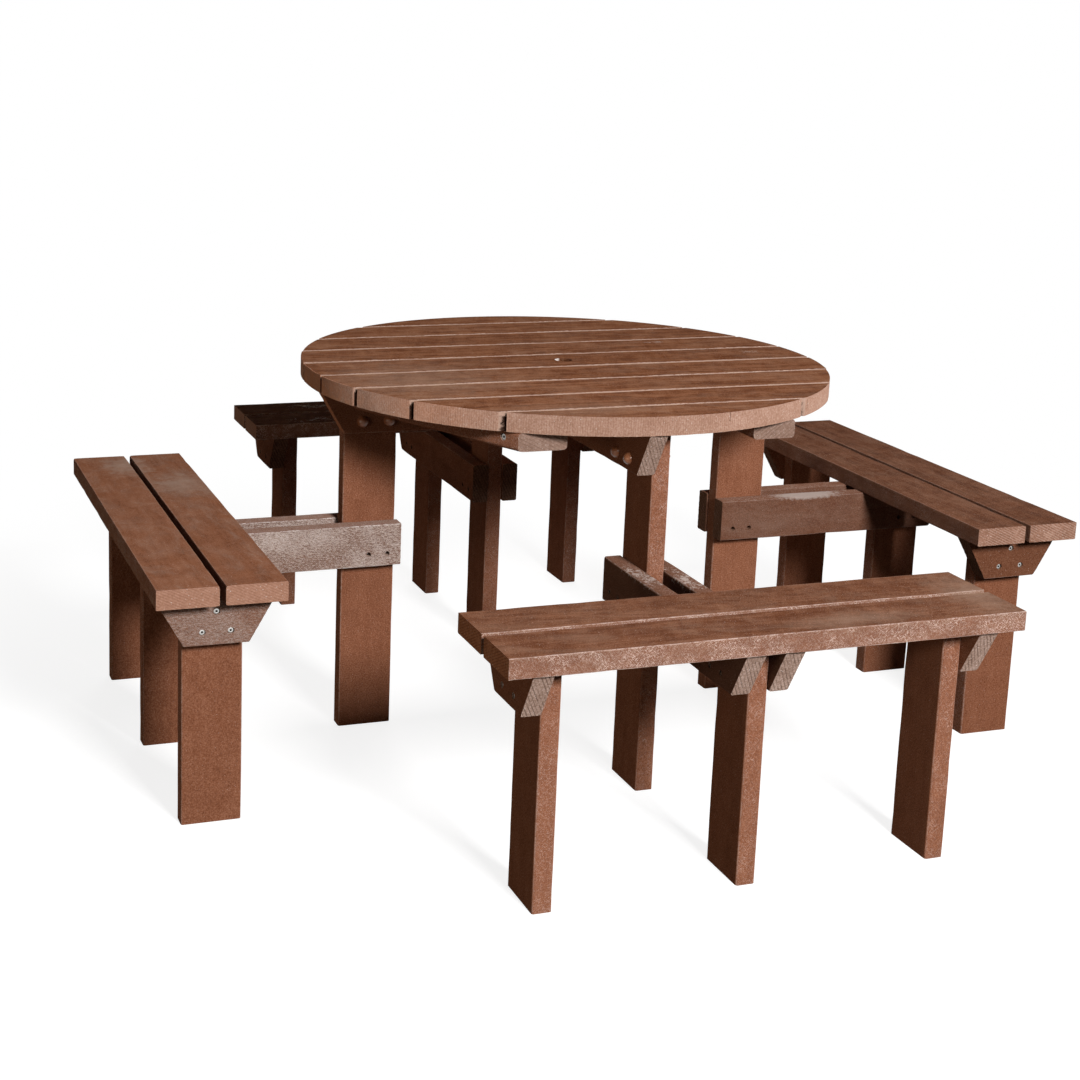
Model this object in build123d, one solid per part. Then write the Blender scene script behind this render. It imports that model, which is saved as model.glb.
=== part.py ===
from build123d import *

import math
import os
from dataclasses import dataclass

# Round picnic table with four attached benches, made of recycled plastic planks.
# The frame stands on z = 0 with the table's axis on Z. Slats of the top run along X.
# The front bench is at -Y, the right bench at +X, the back bench at +Y, the left bench at -X.

# Overall sizes, in millimetres
table_height = 730.0
table_diameter = 1060.0
seat_height = 460.0
leg_room = 160.0  # table rim to a seat's near edge, in plan
bench_length = 930.0
parasol_hole_diameter = 35.0

# Plank stock
plank_thickness = 35.0
plank_width = 108.0  # seat slats and legs
top_slat_width = 120.0
rail_depth = 85.0  # rails, cleats and bearers on edge, battens laid flat
edge_radius = 5.0  # long edges; sawn ends stay sharp
end_cut_angle = 30.0  # cut-back ends of rails, cleats and bearers, from vertical

# Layout
top_slat_gap = 4.5
seat_slat_gap = 11.0
seat_overhang = 45.5  # seat slat's end past a cleat
leg_setback = 120.0  # table rim to a table leg's middle
cleat_setback = 7.5  # seat edge to a cleat's or rail's top end
rail_overrun = 3.0  # rail's inner end past the table leg
bearer_setback = 9.0  # table rim to a bearer's top end
lap_clearance = 0.5  # each side of the bearers' half lap
batten_outer = 275.0  # middle line to a batten's outer corner at the rim
batten_rim_inset = 1.0
batten_clearance = 8.0  # bearer to a batten's inner end
batten_skew = 25.0  # turn of the two askew battens, in degrees

# Coach bolts with flange nuts
bolt_diameter = 8.0
bolt_head_diameter = 20.0
bolt_head_height = 8.0
bolt_spacing = 54.0
bolt_height = 24.0  # above the bearer's underside
bolt_tail = 3.0  # past the nut
nut_across_flats = 13.0
nut_height = 8.0
nut_flange_diameter = 18.0
nut_flange_height = 1.6

# Screws
shank_diameter = 6.0
hole_clearance = 0.1  # radial, round shanks and heads
tip_clearance = 1.0  # hole past a screw's tip
tip_cover = 10.0  # plank left past a screw's tip
tip_gap = 5.0  # between two screws that meet in a leg
head_height = 4.0
screw_margin = 15.0  # screw to a plank's edge or to a bolt

cleat_head_diameter = 11.0
cleat_recess = 5.0
cleat_screw_spacing = 50.0
cleat_screw_rise = 24.0  # the two lower screws, above the cleat's underside
cleat_screw_drop = 25.0  # the upper screw, below the cleat's top

rail_head_diameter = 9.0
rail_recess = 14.0
rail_screw_spacing = 38.0
rail_screw_rise = 25.0  # above the rail's underside
rail_screw_shift = 10.0  # pair's middle at the table leg, towards the table axis

slat_head_diameter = 11.0
slat_recess = 40.0  # from below, into cleats, rails and bearers
batten_recess = 5.0
seat_screw_reach = 40.0  # bench middle line to a seat screw
bearer_screw_offset = 200.0  # table axis to the screws along the middle slat
side_screw_setback = 38.0  # askew batten's front corner to its side screw
side_screw_drop = 14.0  # below the slats
side_screw_length = 30.0

# Worked out from the sizes above
table_radius = table_diameter / 2
top_underside = table_height - plank_thickness
seat_underside = seat_height - plank_thickness
rail_underside = seat_underside - rail_depth
bearer_underside = top_underside - rail_depth
seat_depth = 2 * plank_width + seat_slat_gap
bench_radius = table_radius + leg_room + seat_depth / 2
table_leg_radius = table_radius - leg_setback
clamp_face = 1.5 * plank_thickness  # middle of a leg to the outer face of a plank on its side
bench_leg_offset = bench_length / 2 - seat_overhang - clamp_face
bearer_middle = -plank_thickness  # bearers lie on the legs' faces, beside the axis
cleat_length = seat_depth - 2 * cleat_setback
slat_pitch = top_slat_width + top_slat_gap
half_slats = math.ceil((table_radius - top_slat_width / 2) / slat_pitch)  # each side of the middle one
end_cut = math.tan(math.radians(end_cut_angle)) * rail_depth  # top end to bottom end, along the plank
batten_reach = math.sqrt((table_radius - batten_rim_inset) ** 2 - batten_outer**2)
batten_inner = clamp_face + batten_clearance
screw_bite = plank_thickness - tip_cover
side_bite = (plank_thickness - tip_gap) / 2
through = 3 * plank_thickness  # long enough to cut right through a slat

SIDES = ("front", "right", "back", "left")
BOTH_ENDS = (-1, 1)
UPWARD = (Align.CENTER, Align.CENTER, Align.MIN)
DOWNWARD = (Align.CENTER, Align.CENTER, Align.MAX)
UP_FROM_BELOW = (0, 0, -1)  # a screw driven upwards has its head below


@dataclass
class Fixing:
    """A screw or bolt, and the hole that it needs."""

    solid: Part
    hole: Part

    def turned(self, turn):
        """The same fixing in another place."""
        return Fixing(turn * self.solid, turn * self.hole)


def bar(length, across_y, across_z):
    """Plank along X with rounded long edges and square sawn ends, centred on the origin."""
    section = RectangleRounded(across_y, across_z, edge_radius)
    return extrude(Plane.YZ * section, amount=length / 2, both=True)


def upright(height):
    """Leg plank standing on z = 0, its width along Y."""
    return Pos(0, 0, height / 2) * Rot(0, -90, 0) * bar(height, plank_width, plank_thickness)


def saw(part, point, outward):
    """Cuts off what lies on the outward side of a plane."""
    return split(part, bisect_by=Plane(origin=point, z_dir=outward), keep=Keep.BOTTOM)


def on_edge(length, sloping_ends):
    """Plank on edge along X, top face at z = 0; the ends listed (-1, 1) slope in towards the bottom."""
    part = Pos(0, 0, -rail_depth / 2) * bar(length, plank_thickness, rail_depth)
    for end in sloping_ends:
        part = saw(part, (end * length / 2, 0, 0), (end * rail_depth, 0, -end_cut))
    return part


def turn_to(side):
    """Turn about the table's axis from the front to another side."""
    return Rot(0, 0, 90 * SIDES.index(side))


def screw(seat, outward, head_diameter, length, recess):
    """A screw whose head rests on the seat; outward points from its tip to its head."""
    place = Plane(origin=seat, z_dir=outward).location
    shank_radius = shank_diameter / 2
    head_radius = head_diameter / 2
    head = Cylinder(head_radius, head_height, align=UPWARD)
    shank = Cylinder(shank_radius, length, align=DOWNWARD)
    recess_cut = Cylinder(head_radius + hole_clearance, recess + edge_radius, align=UPWARD)
    shank_cut = Cylinder(shank_radius + hole_clearance, length + tip_clearance, align=DOWNWARD)
    return Fixing(place * (head + shank), place * (recess_cut + shank_cut))


def bolt_length():
    """From under a coach bolt's head, through a bearer, a leg and the nut."""
    return 2 * plank_thickness + nut_height + bolt_tail


def coach_bolt(seat, outward):
    """A domed bolt through a bearer and a leg."""
    place = Plane(origin=seat, z_dir=outward).location
    radius = bolt_diameter / 2
    rim = (bolt_head_diameter / 2, 0)
    crown = (0, bolt_head_height)
    dome_radius = (rim[0] ** 2 + crown[1] ** 2) / (2 * crown[1])
    outline = make_face([Line((0, 0), rim), RadiusArc(rim, crown, -dome_radius), Line(crown, (0, 0))])
    head = revolve(Plane.XZ * outline, axis=Axis.Z)
    shank = Cylinder(radius, bolt_length(), align=DOWNWARD)
    bore = Cylinder(radius + hole_clearance, bolt_length(), align=DOWNWARD)
    return Fixing(place * (head + shank), place * bore)


def flange_nut(seat, outward):
    """The nut of the coach bolt with this seat, on the far face of the leg."""
    place = Plane(origin=seat, z_dir=outward).location
    hexagon = RegularPolygon(nut_across_flats / 2, 6, major_radius=False)
    flange = Cylinder(nut_flange_diameter / 2, nut_flange_height, align=DOWNWARD)
    bore = Cylinder(bolt_diameter / 2 + hole_clearance, nut_height, align=DOWNWARD)
    nut = flange + extrude(hexagon, amount=-nut_height) - bore
    return place * Pos(0, 0, -2 * plank_thickness) * nut


def drilled(part, fixings):
    """The part with the fixings' holes cut."""
    return part - [fixing.hole for fixing in fixings]


def cleat_screws(end):
    """The three screws that hold a front bench's cleat to its end leg."""
    seat_x = end * (bench_leg_offset + clamp_face - cleat_recess)
    length = plank_thickness - cleat_recess + screw_bite
    low = rail_underside + cleat_screw_rise
    high = seat_underside - cleat_screw_drop
    spots = [(-cleat_screw_spacing / 2, low), (cleat_screw_spacing / 2, low), (0, high)]
    return [
        screw((seat_x, along - bench_radius, z), (end, 0, 0), cleat_head_diameter, length, cleat_recess)
        for along, z in spots
    ]


def rail_screws(end, radius):
    """The two deep-set screws that hold a front rail to a leg at this radius."""
    seat_x = end * (clamp_face - rail_recess)
    length = plank_thickness - rail_recess + side_bite
    z = rail_underside + rail_screw_rise
    return [
        screw((seat_x, -radius - step, z), (end, 0, 0), rail_head_diameter, length, rail_recess)
        for step in (-rail_screw_spacing / 2, rail_screw_spacing / 2)
    ]


def upward_screw(x, y, underside):
    """A screw up into a slat, through a plank on edge with this underside."""
    length = rail_depth - slat_recess + screw_bite
    seat = (x, y, underside + slat_recess)
    return screw(seat, UP_FROM_BELOW, slat_head_diameter, length, slat_recess)


def seat_screws(x):
    """The two screws that hold the front seat's slats, through a cleat or rail at x."""
    return [
        upward_screw(x, step - bench_radius, rail_underside)
        for step in (-seat_screw_reach, seat_screw_reach)
    ]


def bench():
    """The front bench with its rails: named pieces, and lists of screws by group."""
    cleat_x = bench_leg_offset + plank_thickness
    rail_inner = table_leg_radius - plank_width / 2 - rail_overrun
    rail_outer = bench_radius + cleat_length / 2
    inner_pair = table_leg_radius - rail_screw_shift
    pieces = {}
    screws = {"cleat_screws": [], "rail_screws": [], "slat_screws": []}
    into_leg = {-1: [], 0: [], 1: []}
    for number, end in enumerate(BOTH_ENDS, start=1):
        at_leg = cleat_screws(end)
        at_seat = seat_screws(end * cleat_x)
        cleat = Rot(0, 0, -90) * on_edge(cleat_length, BOTH_ENDS)
        cleat = Pos(end * cleat_x, -bench_radius, seat_underside) * cleat
        pieces[f"bench_cleat_{number}"] = drilled(cleat, at_leg + at_seat)
        into_leg[end] += at_leg
        screws["cleat_screws"] += at_leg
        screws["slat_screws"] += at_seat
    for number, end in enumerate(BOTH_ENDS, start=1):
        at_table = rail_screws(end, inner_pair)
        at_bench = rail_screws(end, bench_radius)
        at_seat = seat_screws(end * plank_thickness)
        rail = Rot(0, 0, -90) * on_edge(rail_outer - rail_inner, (1,))
        rail = Pos(end * plank_thickness, -(rail_inner + rail_outer) / 2, seat_underside) * rail
        pieces[f"seat_rail_{number}"] = drilled(rail, at_table + at_bench + at_seat)
        into_leg[0] += at_bench
        screws["rail_screws"] += at_table + at_bench
        screws["slat_screws"] += at_seat
    for number, (place, held_by) in enumerate(into_leg.items(), start=1):
        leg = Pos(place * bench_leg_offset, -bench_radius, 0) * upright(seat_underside)
        pieces[f"bench_leg_{number}"] = drilled(leg, held_by)
    for name, step in (("inner", 1), ("outer", -1)):
        slat = bar(bench_length, plank_width, plank_thickness)
        y = step * (plank_width + seat_slat_gap) / 2 - bench_radius
        slat = Pos(0, y, seat_height - plank_thickness / 2) * slat
        pieces[f"seat_slat_{name}"] = drilled(slat, screws["slat_screws"])
    return pieces, screws


def bolt_places(side):
    """Seat and outward direction of a table leg's two coach bolts, on its bearer's outer face."""
    z = bearer_underside + bolt_height
    sign = -1 if side in ("front", "left") else 1
    radii = (table_leg_radius - bolt_spacing / 2, table_leg_radius + bolt_spacing / 2)
    if side in ("front", "back"):
        return [((-clamp_face, sign * radius, z), (-1, 0, 0)) for radius in radii]
    return [((sign * radius, -clamp_face, z), (0, -1, 0)) for radius in radii]


def cross_bearer_screws():
    """Screws up through the front-to-back bearer, one in each slat, clear of its ends and bolts."""
    end = table_radius - bearer_setback - end_cut - screw_margin
    before_bolts = table_leg_radius - bolt_spacing / 2 - screw_margin
    after_bolts = table_leg_radius + bolt_spacing / 2 + screw_margin
    places = [0]
    for step in range(1, half_slats + 1):
        place = min(step * slat_pitch, end)
        if before_bolts < place < after_bolts:
            place = before_bolts if place < table_leg_radius else after_bolts
        if place > step * slat_pitch - top_slat_width / 2 + screw_margin:
            places += [place, -place]
    return [upward_screw(bearer_middle, place, bearer_underside) for place in places]


def bearers(cross_screws, along_screws, bolts):
    """The two bearers with cut-back ends, half-lapped where they cross."""
    length = table_diameter - 2 * bearer_setback
    lap_width = plank_thickness + 2 * lap_clearance
    lap = Pos(bearer_middle, bearer_middle, top_underside - rail_depth / 2)
    along = Pos(0, bearer_middle, top_underside) * on_edge(length, BOTH_ENDS)
    along -= lap * Box(lap_width, lap_width, rail_depth, align=UPWARD)
    cross = Pos(bearer_middle, 0, top_underside) * Rot(0, 0, -90) * on_edge(length, BOTH_ENDS)
    cross -= lap * Box(lap_width, lap_width, rail_depth, align=DOWNWARD)
    return {
        "bearer_left_right": drilled(along, along_screws + bolts["left"] + bolts["right"]),
        "bearer_front_back": drilled(cross, cross_screws + bolts["front"] + bolts["back"]),
    }


def batten_screws(middle_x):
    """Screws up through a front batten, one in each slat that it crosses well; middle_x gives x at y."""
    length = plank_thickness - batten_recess + screw_bite
    seat_z = top_underside - plank_thickness + batten_recess
    steps = [step * slat_pitch for step in range(1, half_slats + 1)]
    places = [y for y in steps if batten_inner + screw_margin < y < batten_reach - screw_margin]
    return [
        screw((middle_x(-y), -y, seat_z), UP_FROM_BELOW, slat_head_diameter, length, batten_recess)
        for y in places
    ]


def straight_batten():
    """The front right batten, along Y: the piece and its screws."""
    middle = batten_outer - rail_depth / 2
    screws = batten_screws(lambda y: middle)
    batten = Rot(0, 0, 90) * bar(batten_reach - batten_inner, rail_depth, plank_thickness)
    centre_z = top_underside - plank_thickness / 2
    batten = Pos(middle, -(batten_reach + batten_inner) / 2, centre_z) * batten
    return drilled(batten, screws), screws


def askew_batten():
    """The front left batten, turned towards the left leg: the piece and its screws."""
    turn = math.radians(batten_skew)
    start_x = rail_depth / 2 / math.cos(turn) - batten_outer
    centre_z = top_underside - plank_thickness / 2

    def middle_x(y):
        return start_x - (y + batten_reach) * math.tan(turn)

    along = Vector(-math.sin(turn), math.cos(turn), 0)
    outward = Vector(-math.cos(turn), -math.sin(turn), 0)
    corner = Vector(-batten_outer, -batten_reach, top_underside - side_screw_drop)
    seat = corner + along * side_screw_setback - outward * cleat_recess
    screws = batten_screws(middle_x)
    screws.append(screw(seat, outward, cleat_head_diameter, side_screw_length, cleat_recess))
    middle_y = -(batten_reach + batten_inner) / 2
    batten = Rot(0, 0, 90 + batten_skew) * bar(2 * batten_reach, rail_depth, plank_thickness)
    batten = Pos(middle_x(middle_y), middle_y, centre_z) * batten
    batten = saw(batten, (0, -batten_reach, 0), (0, -1, 0))
    batten = saw(batten, (0, -batten_inner, 0), (0, 1, 0))
    return drilled(batten, screws), screws


def under_top():
    """The four battens by name, and all their screws."""
    straight, straight_screws = straight_batten()
    askew, askew_screws = askew_batten()
    half_turn = turn_to("back")
    battens = {
        "batten_front_left": askew,
        "batten_front_right": straight,
        "batten_back_right": half_turn * askew,
        "batten_back_left": half_turn * straight,
    }
    front_screws = straight_screws + askew_screws
    return battens, front_screws + [fixing.turned(half_turn) for fixing in front_screws]


def top_slat(step, screws):
    """A slat of the top, this many places behind the middle one, its ends sawn to the table's circle."""
    round_top = Pos(0, 0, table_height) * Cylinder(table_radius, through)
    slat = bar(table_diameter, top_slat_width, plank_thickness)
    slat = Pos(0, step * slat_pitch, table_height - plank_thickness / 2) * slat & round_top
    return drilled(slat, screws)


def top_slats(screws):
    """The slats by name, numbered from the middle one outwards; the middle one has the parasol hole."""
    pole = Pos(0, 0, table_height) * Cylinder(parasol_hole_diameter / 2, through)
    slats = {"top_slat_middle": top_slat(0, screws) - pole}
    for number in range(1, half_slats + 1):
        slats[f"top_slat_front_{number}"] = top_slat(-number, screws)
        slats[f"top_slat_back_{number}"] = top_slat(number, screws)
    return slats


def build():
    """All nodes by name."""
    battens, batten_fixings = under_top()
    cross_screws = cross_bearer_screws()
    along_screws = [
        upward_screw(end * bearer_screw_offset, bearer_middle, bearer_underside) for end in BOTH_ENDS
    ]
    top_screws = cross_screws + along_screws + batten_fixings
    bolts = {side: [coach_bolt(*place) for place in bolt_places(side)] for side in SIDES}
    nodes = top_slats(top_screws)
    nodes.update(battens)
    nodes.update(bearers(cross_screws, along_screws, bolts))
    pieces, bench_screws = bench()
    front_leg = drilled(Pos(0, -table_leg_radius, 0) * upright(top_underside), bench_screws["rail_screws"])
    groups = {name: [] for name in bench_screws}
    for side in SIDES:
        turn = turn_to(side)
        nodes[f"table_leg_{side}"] = drilled(turn * front_leg, bolts[side])
        for name, piece in pieces.items():
            nodes[f"{side}_{name}"] = turn * piece
        for name, fixings in bench_screws.items():
            groups[name] += [turn * fixing.solid for fixing in fixings]
    groups["slat_screws"] += [fixing.solid for fixing in top_screws]
    groups["coach_bolts"] = [bolt.solid for side in SIDES for bolt in bolts[side]]
    groups["flange_nuts"] = [flange_nut(*place) for side in SIDES for place in bolt_places(side)]
    for name, solids in groups.items():
        nodes[name] = Compound(children=solids)
    return nodes


os.makedirs("parts", exist_ok=True)
for node_name, node in build().items():
    export_step(node, os.path.join("parts", node_name + ".step"))
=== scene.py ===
import itertools
import logging
import math
from dataclasses import dataclass, field, replace
from enum import Enum
from typing import Iterable, Sequence, Union

import bmesh
import bpy
import numpy as np
from bmesh.types import BMEdge, BMesh, BMFace, BMVert
from bpy.types import Material, Node, NodeSocket as Socket, NodeTree, Object, World
from mathutils import Matrix, Vector, noise


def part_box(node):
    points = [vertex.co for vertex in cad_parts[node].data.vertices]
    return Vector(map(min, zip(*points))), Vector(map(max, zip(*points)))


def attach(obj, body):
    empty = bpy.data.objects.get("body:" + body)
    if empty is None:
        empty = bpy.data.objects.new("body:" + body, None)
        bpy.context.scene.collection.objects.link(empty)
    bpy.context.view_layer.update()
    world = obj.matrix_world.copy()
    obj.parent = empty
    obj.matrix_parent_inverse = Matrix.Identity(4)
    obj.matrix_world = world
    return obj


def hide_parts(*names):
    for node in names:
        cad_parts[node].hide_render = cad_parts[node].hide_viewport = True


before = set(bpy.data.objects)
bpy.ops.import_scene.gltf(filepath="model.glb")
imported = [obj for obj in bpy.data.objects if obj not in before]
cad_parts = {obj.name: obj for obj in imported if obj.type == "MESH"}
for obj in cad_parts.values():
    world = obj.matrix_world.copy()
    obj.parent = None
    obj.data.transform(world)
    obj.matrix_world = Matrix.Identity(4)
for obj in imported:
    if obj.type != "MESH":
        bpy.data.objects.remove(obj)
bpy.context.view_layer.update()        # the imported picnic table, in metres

BODY = "root"
LOG = logging.getLogger("picnic_table")

Colour = tuple[float, float, float]
Feed = Union[Socket, float, Sequence[float]]
Triple = tuple[float, float, float]

WHITE = (1.0, 1.0, 1.0)
HAIR = 1e-6  # how near two points count as one, in metres
FACE_PLAY = 0.001  # how near a form's own line or plane counts as on it
PARALLEL = 0.999  # cosine above which two directions count as one
GOLDEN = 0.6180339887  # steps a plank's seed without repeats
SEED_SHIFT = (7.31, 3.17, 5.93)  # how far a whole seed moves a plank's grain
HEAD_HEIGHT = 0.004  # of a screw
HEAD_SHARE = 0.93  # share of a fixing's radius past which its points belong to the head
ARRIS_STEPS = 4  # steps of a plank's rounded long edge
BOTH_ENDS = (-1, 1)
MATT = 0.004  # specular level of the plastic, which hardly shines
NARROW_FACE = (0.0008, 0.003)  # distances between which a narrow face's look gives way to a wide one's

# How far the heads of each kind of screw sit below the face.
DRIVEN = {"cleat_screws": 0.0018, "rail_screws": 0.005, "slat_screws": 0.0012}


class Axis(Enum):
    """A main direction of the shared frame."""

    X = 0
    Y = 1
    Z = 2

    @property
    def vector(self) -> Vector:
        """Unit vector along this axis."""
        return Vector([float(place == self.value) for place in range(3)])


class Slot(Enum):
    """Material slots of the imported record."""

    PLANK = "plank_plastic"
    SCREW = "screw_steel"
    BOLT = "bolt_brown"
    NUT = "nut_steel"


class SawLines(Enum):
    """Which way the saw ran across an end."""

    SLANTED = "slanted"
    UPRIGHT = "upright"


class Rub(Enum):
    """How a rubbed place looks."""

    HAZE = "haze"
    SMEAR = "smear"
    SCRATCHES = "scratches"


class Coat(Enum):
    """Place of each finish among a plank's finishes."""

    FACE = 0
    SAWN = 1
    PAINTED_BORE = 2
    GAP_SHADE = 3


class Side(Enum):
    """The four sides of the table; the value is the quarter turns from the front."""

    FRONT = 0
    RIGHT = 1
    BACK = 2
    LEFT = 3

    @property
    def word(self) -> str:
        """The side's name as the CAD nodes use it."""
        return self.name.lower()

    @property
    def run(self) -> Axis:
        """Axis that the bench's slats follow."""
        return Axis.X if self in (Side.FRONT, Side.BACK) else Axis.Y

    @property
    def reach(self) -> Axis:
        """Axis that points from the table to the bench."""
        return Axis.Y if self in (Side.FRONT, Side.BACK) else Axis.X

    @property
    def outward(self) -> int:
        """Sign of the bench's place on its reach axis."""
        return -1 if self in (Side.FRONT, Side.LEFT) else 1


class Graph:
    """A node tree, with short calls for the nodes that the finishes and the studio use."""

    def __init__(self, tree: NodeTree) -> None:
        """Take the tree to work on."""
        self.tree = tree

    def feed(self, socket: Socket, value: Feed) -> None:
        """Link a socket to another, or set its own value.

        Args:
            socket: the input to set.
            value: an output socket, a number, or a colour or vector.
        """
        if isinstance(value, Socket):
            self.tree.links.new(value, socket)
        elif socket.type == "RGBA":
            socket.default_value = (*value, 1.0)
        else:
            socket.default_value = value

    def node(self, kind: str, feeds: dict, **settings: object) -> Node:
        """Add a node.

        Args:
            kind: the node's type name, after its prefix.
            feeds: inputs by name or number, with what goes in.
            settings: the node's own properties.

        Returns:
            The new node.
        """
        made = self.tree.nodes.new(f"ShaderNode{kind}")
        for key, value in settings.items():
            setattr(made, key, value)
        for key, value in feeds.items():
            self.feed(made.inputs[key], value)
        return made

    def output(self, kind: str, feeds: dict, **settings: object) -> Socket:
        """First output of a new node."""
        return self.node(kind, feeds, **settings).outputs[0]

    def math(self, operation: str, *values: Feed) -> Socket:
        """Output of a Math node."""
        return self.output("Math", dict(enumerate(values)), operation=operation)

    def vector(self, operation: str, *values: Feed) -> Socket:
        """Output of a Vector Math node."""
        return self.output("VectorMath", dict(enumerate(values)), operation=operation)

    def length(self, vector: Socket) -> Socket:
        """Length of a vector."""
        return self.node("VectorMath", {0: vector}, operation="LENGTH").outputs["Value"]

    def fade(self, value: Feed, start: float, end: float, low: float = 0.0, high: float = 1.0) -> Socket:
        """Smooth step of a value, from low at start to high at end."""
        feeds = dict(enumerate((value, start, end, low, high)))
        return self.output("MapRange", feeds, interpolation_type="SMOOTHSTEP")

    def attribute(self, name: str) -> Node:
        """An attribute stored on the mesh."""
        return self.node("Attribute", {}, attribute_name=name)

    def place(self) -> Socket:
        """Object coordinates."""
        return self.node("TexCoord", {}).outputs["Object"]

    def stretch(self, vector: Socket, scale: Triple, turn: Triple = (0, 0, 0)) -> Socket:
        """Coordinates scaled, after a turn in degrees.

        Args:
            vector: the coordinates.
            scale: factor along each axis.
            turn: Euler angles in degrees.

        Returns:
            The new coordinates.
        """
        angles = tuple(math.radians(angle) for angle in turn)
        turned = self.output("Mapping", {"Vector": vector, "Rotation": angles})
        return self.vector("MULTIPLY", turned, scale)

    def noise(self, vector: Socket, scale: float = 1.0, detail: float = 3.0, rough: float = 0.5,
              bend: float = 0.0) -> Socket:
        """Noise from 0 to 1; rough weighs its finer octaves, and bend distorts it."""
        feeds = {"Vector": vector, "Scale": scale, "Detail": detail, "Roughness": rough, "Distortion": bend}
        return self.output("TexNoise", feeds)

    def drawn(self, vector: Socket, scale: Triple, detail: float, rough: float, bend: float = 0.0,
              turn: Triple = (0, 0, 0)) -> Socket:
        """Noise from 0 to 1 on coordinates that are turned and stretched."""
        return self.noise(self.stretch(vector, scale, turn), 1.0, detail, rough, bend)

    def weigh(self, *layers: tuple[Socket, float]) -> Socket:
        """Sum of values, each times its weight.

        Args:
            layers: the values and their weights.

        Returns:
            The sum.
        """
        total = self.math("MULTIPLY", *layers[0])
        for layer, weight in layers[1:]:
            total = self.math("MULTIPLY_ADD", layer, weight, total)
        return total

    def ramp(self, value: Socket, stops: Sequence[tuple[float, Colour]]) -> Socket:
        """Colour along a ramp.

        Args:
            value: place on the ramp.
            stops: places and colours, in order.

        Returns:
            The colour.
        """
        made = self.node("ValToRGB", {"Fac": value})
        elements = made.color_ramp.elements
        while len(elements) < len(stops):
            elements.new(1.0)
        for element, (place, colour) in zip(elements, stops):
            element.position = place
            element.color = (*colour, 1.0)
        return made.outputs["Color"]

    def blend(self, share: Feed, under: Feed, over: Feed) -> Socket:
        """A share of one colour laid over another."""
        feeds = {0: share, 6: under, 7: over}
        return self.node("Mix", feeds, data_type="RGBA").outputs[2]

    def relief(self, height: Socket, strength: float, depth: float) -> Socket:
        """A bump for the shader; a height of 1 stands for a depth in metres."""
        feeds = {"Strength": strength, "Distance": depth, "Height": height}
        return self.output("Bump", feeds)


class Paint(Graph):
    """The node tree of a new material with a Principled shader."""

    def __init__(self, name: str) -> None:
        """Start the material.

        Args:
            name: the material's name.
        """
        self.material = bpy.data.materials.new(name)
        self.material.use_nodes = True
        super().__init__(self.material.node_tree)
        self.shader = self.tree.nodes["Principled BSDF"]
        self.colour: Feed = WHITE

    def lay(self, share: Feed, over: Colour) -> None:
        """Lay a share of a colour over what is there."""
        self.colour = self.blend(share, self.colour, over)

    def finished(self, feeds: dict) -> Material:
        """The material, once the shader's inputs are fed by name.

        Args:
            feeds: what goes into each input.

        Returns:
            The material.
        """
        for name, value in feeds.items():
            self.feed(self.shader.inputs[name], value)
        return self.material


@dataclass(frozen=True)
class Fray:
    """How noise frays the edge of a rubbed place."""

    scale: float
    detail: float
    rough: float
    bend: float
    weight: float
    near: float
    far: float

    def fade(self, graph: Graph, place: Socket, apart: Socket, strength: float) -> Socket:
        """Full strength near the middle, none far from it.

        Args:
            graph: the material's nodes.
            place: Object coordinates.
            apart: distance from the middle, in radii.
            strength: the most that shows.

        Returns:
            The strength at each point.
        """
        ragged = graph.noise(place, self.scale, self.detail, self.rough, self.bend)
        reach = graph.math("MULTIPLY_ADD", ragged, self.weight, apart)
        return graph.fade(reach, self.near, self.far, strength, 0.0)


FRAYS = {
    Rub.HAZE: Fray(scale=38.0, detail=6.0, rough=0.7, bend=0.9, weight=1.5, near=0.7, far=1.75),
    Rub.SMEAR: Fray(scale=130.0, detail=5.0, rough=0.75, bend=0.6, weight=1.1, near=0.95, far=1.35),
}


@dataclass(frozen=True)
class Scuff:
    """A rubbed place on a plank, in the shared frame; the same masks also lay patches of painted light."""

    centre: Triple
    radii: Triple
    strength: float = 0.6
    kind: Rub = Rub.SCRATCHES

    def mask(self, graph: Graph, place: Socket) -> Socket:
        """Share of the scuff at each point.

        Args:
            graph: the material's nodes.
            place: Object coordinates.

        Returns:
            The scuff's strength.
        """
        offset = graph.vector("SUBTRACT", place, self.centre)
        inverse = tuple(1.0 / radius for radius in self.radii)
        apart = graph.length(graph.vector("MULTIPLY", offset, inverse))
        if self.kind in FRAYS:
            return FRAYS[self.kind].fade(graph, place, apart, self.strength)
        strokes = graph.noise(place, 170.0, 4.0, 0.7, 1.2)
        patches = graph.noise(place, 55.0, 3.0, 0.6, 0.5)
        marks = graph.weigh((strokes, 0.6), (patches, 0.4))
        reach = graph.math("MULTIPLY_ADD", apart, -0.09, marks)
        return graph.fade(reach, 0.455, 0.50, 0.0, self.strength)


@dataclass(frozen=True)
class Finish:
    """A named material, made once."""

    name: str

    def material(self) -> Material:
        """The material, painted on first use."""
        return bpy.data.materials.get(self.name) or self.paint()

    def paint(self) -> Material:
        """Make the material."""
        raise NotImplementedError


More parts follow.
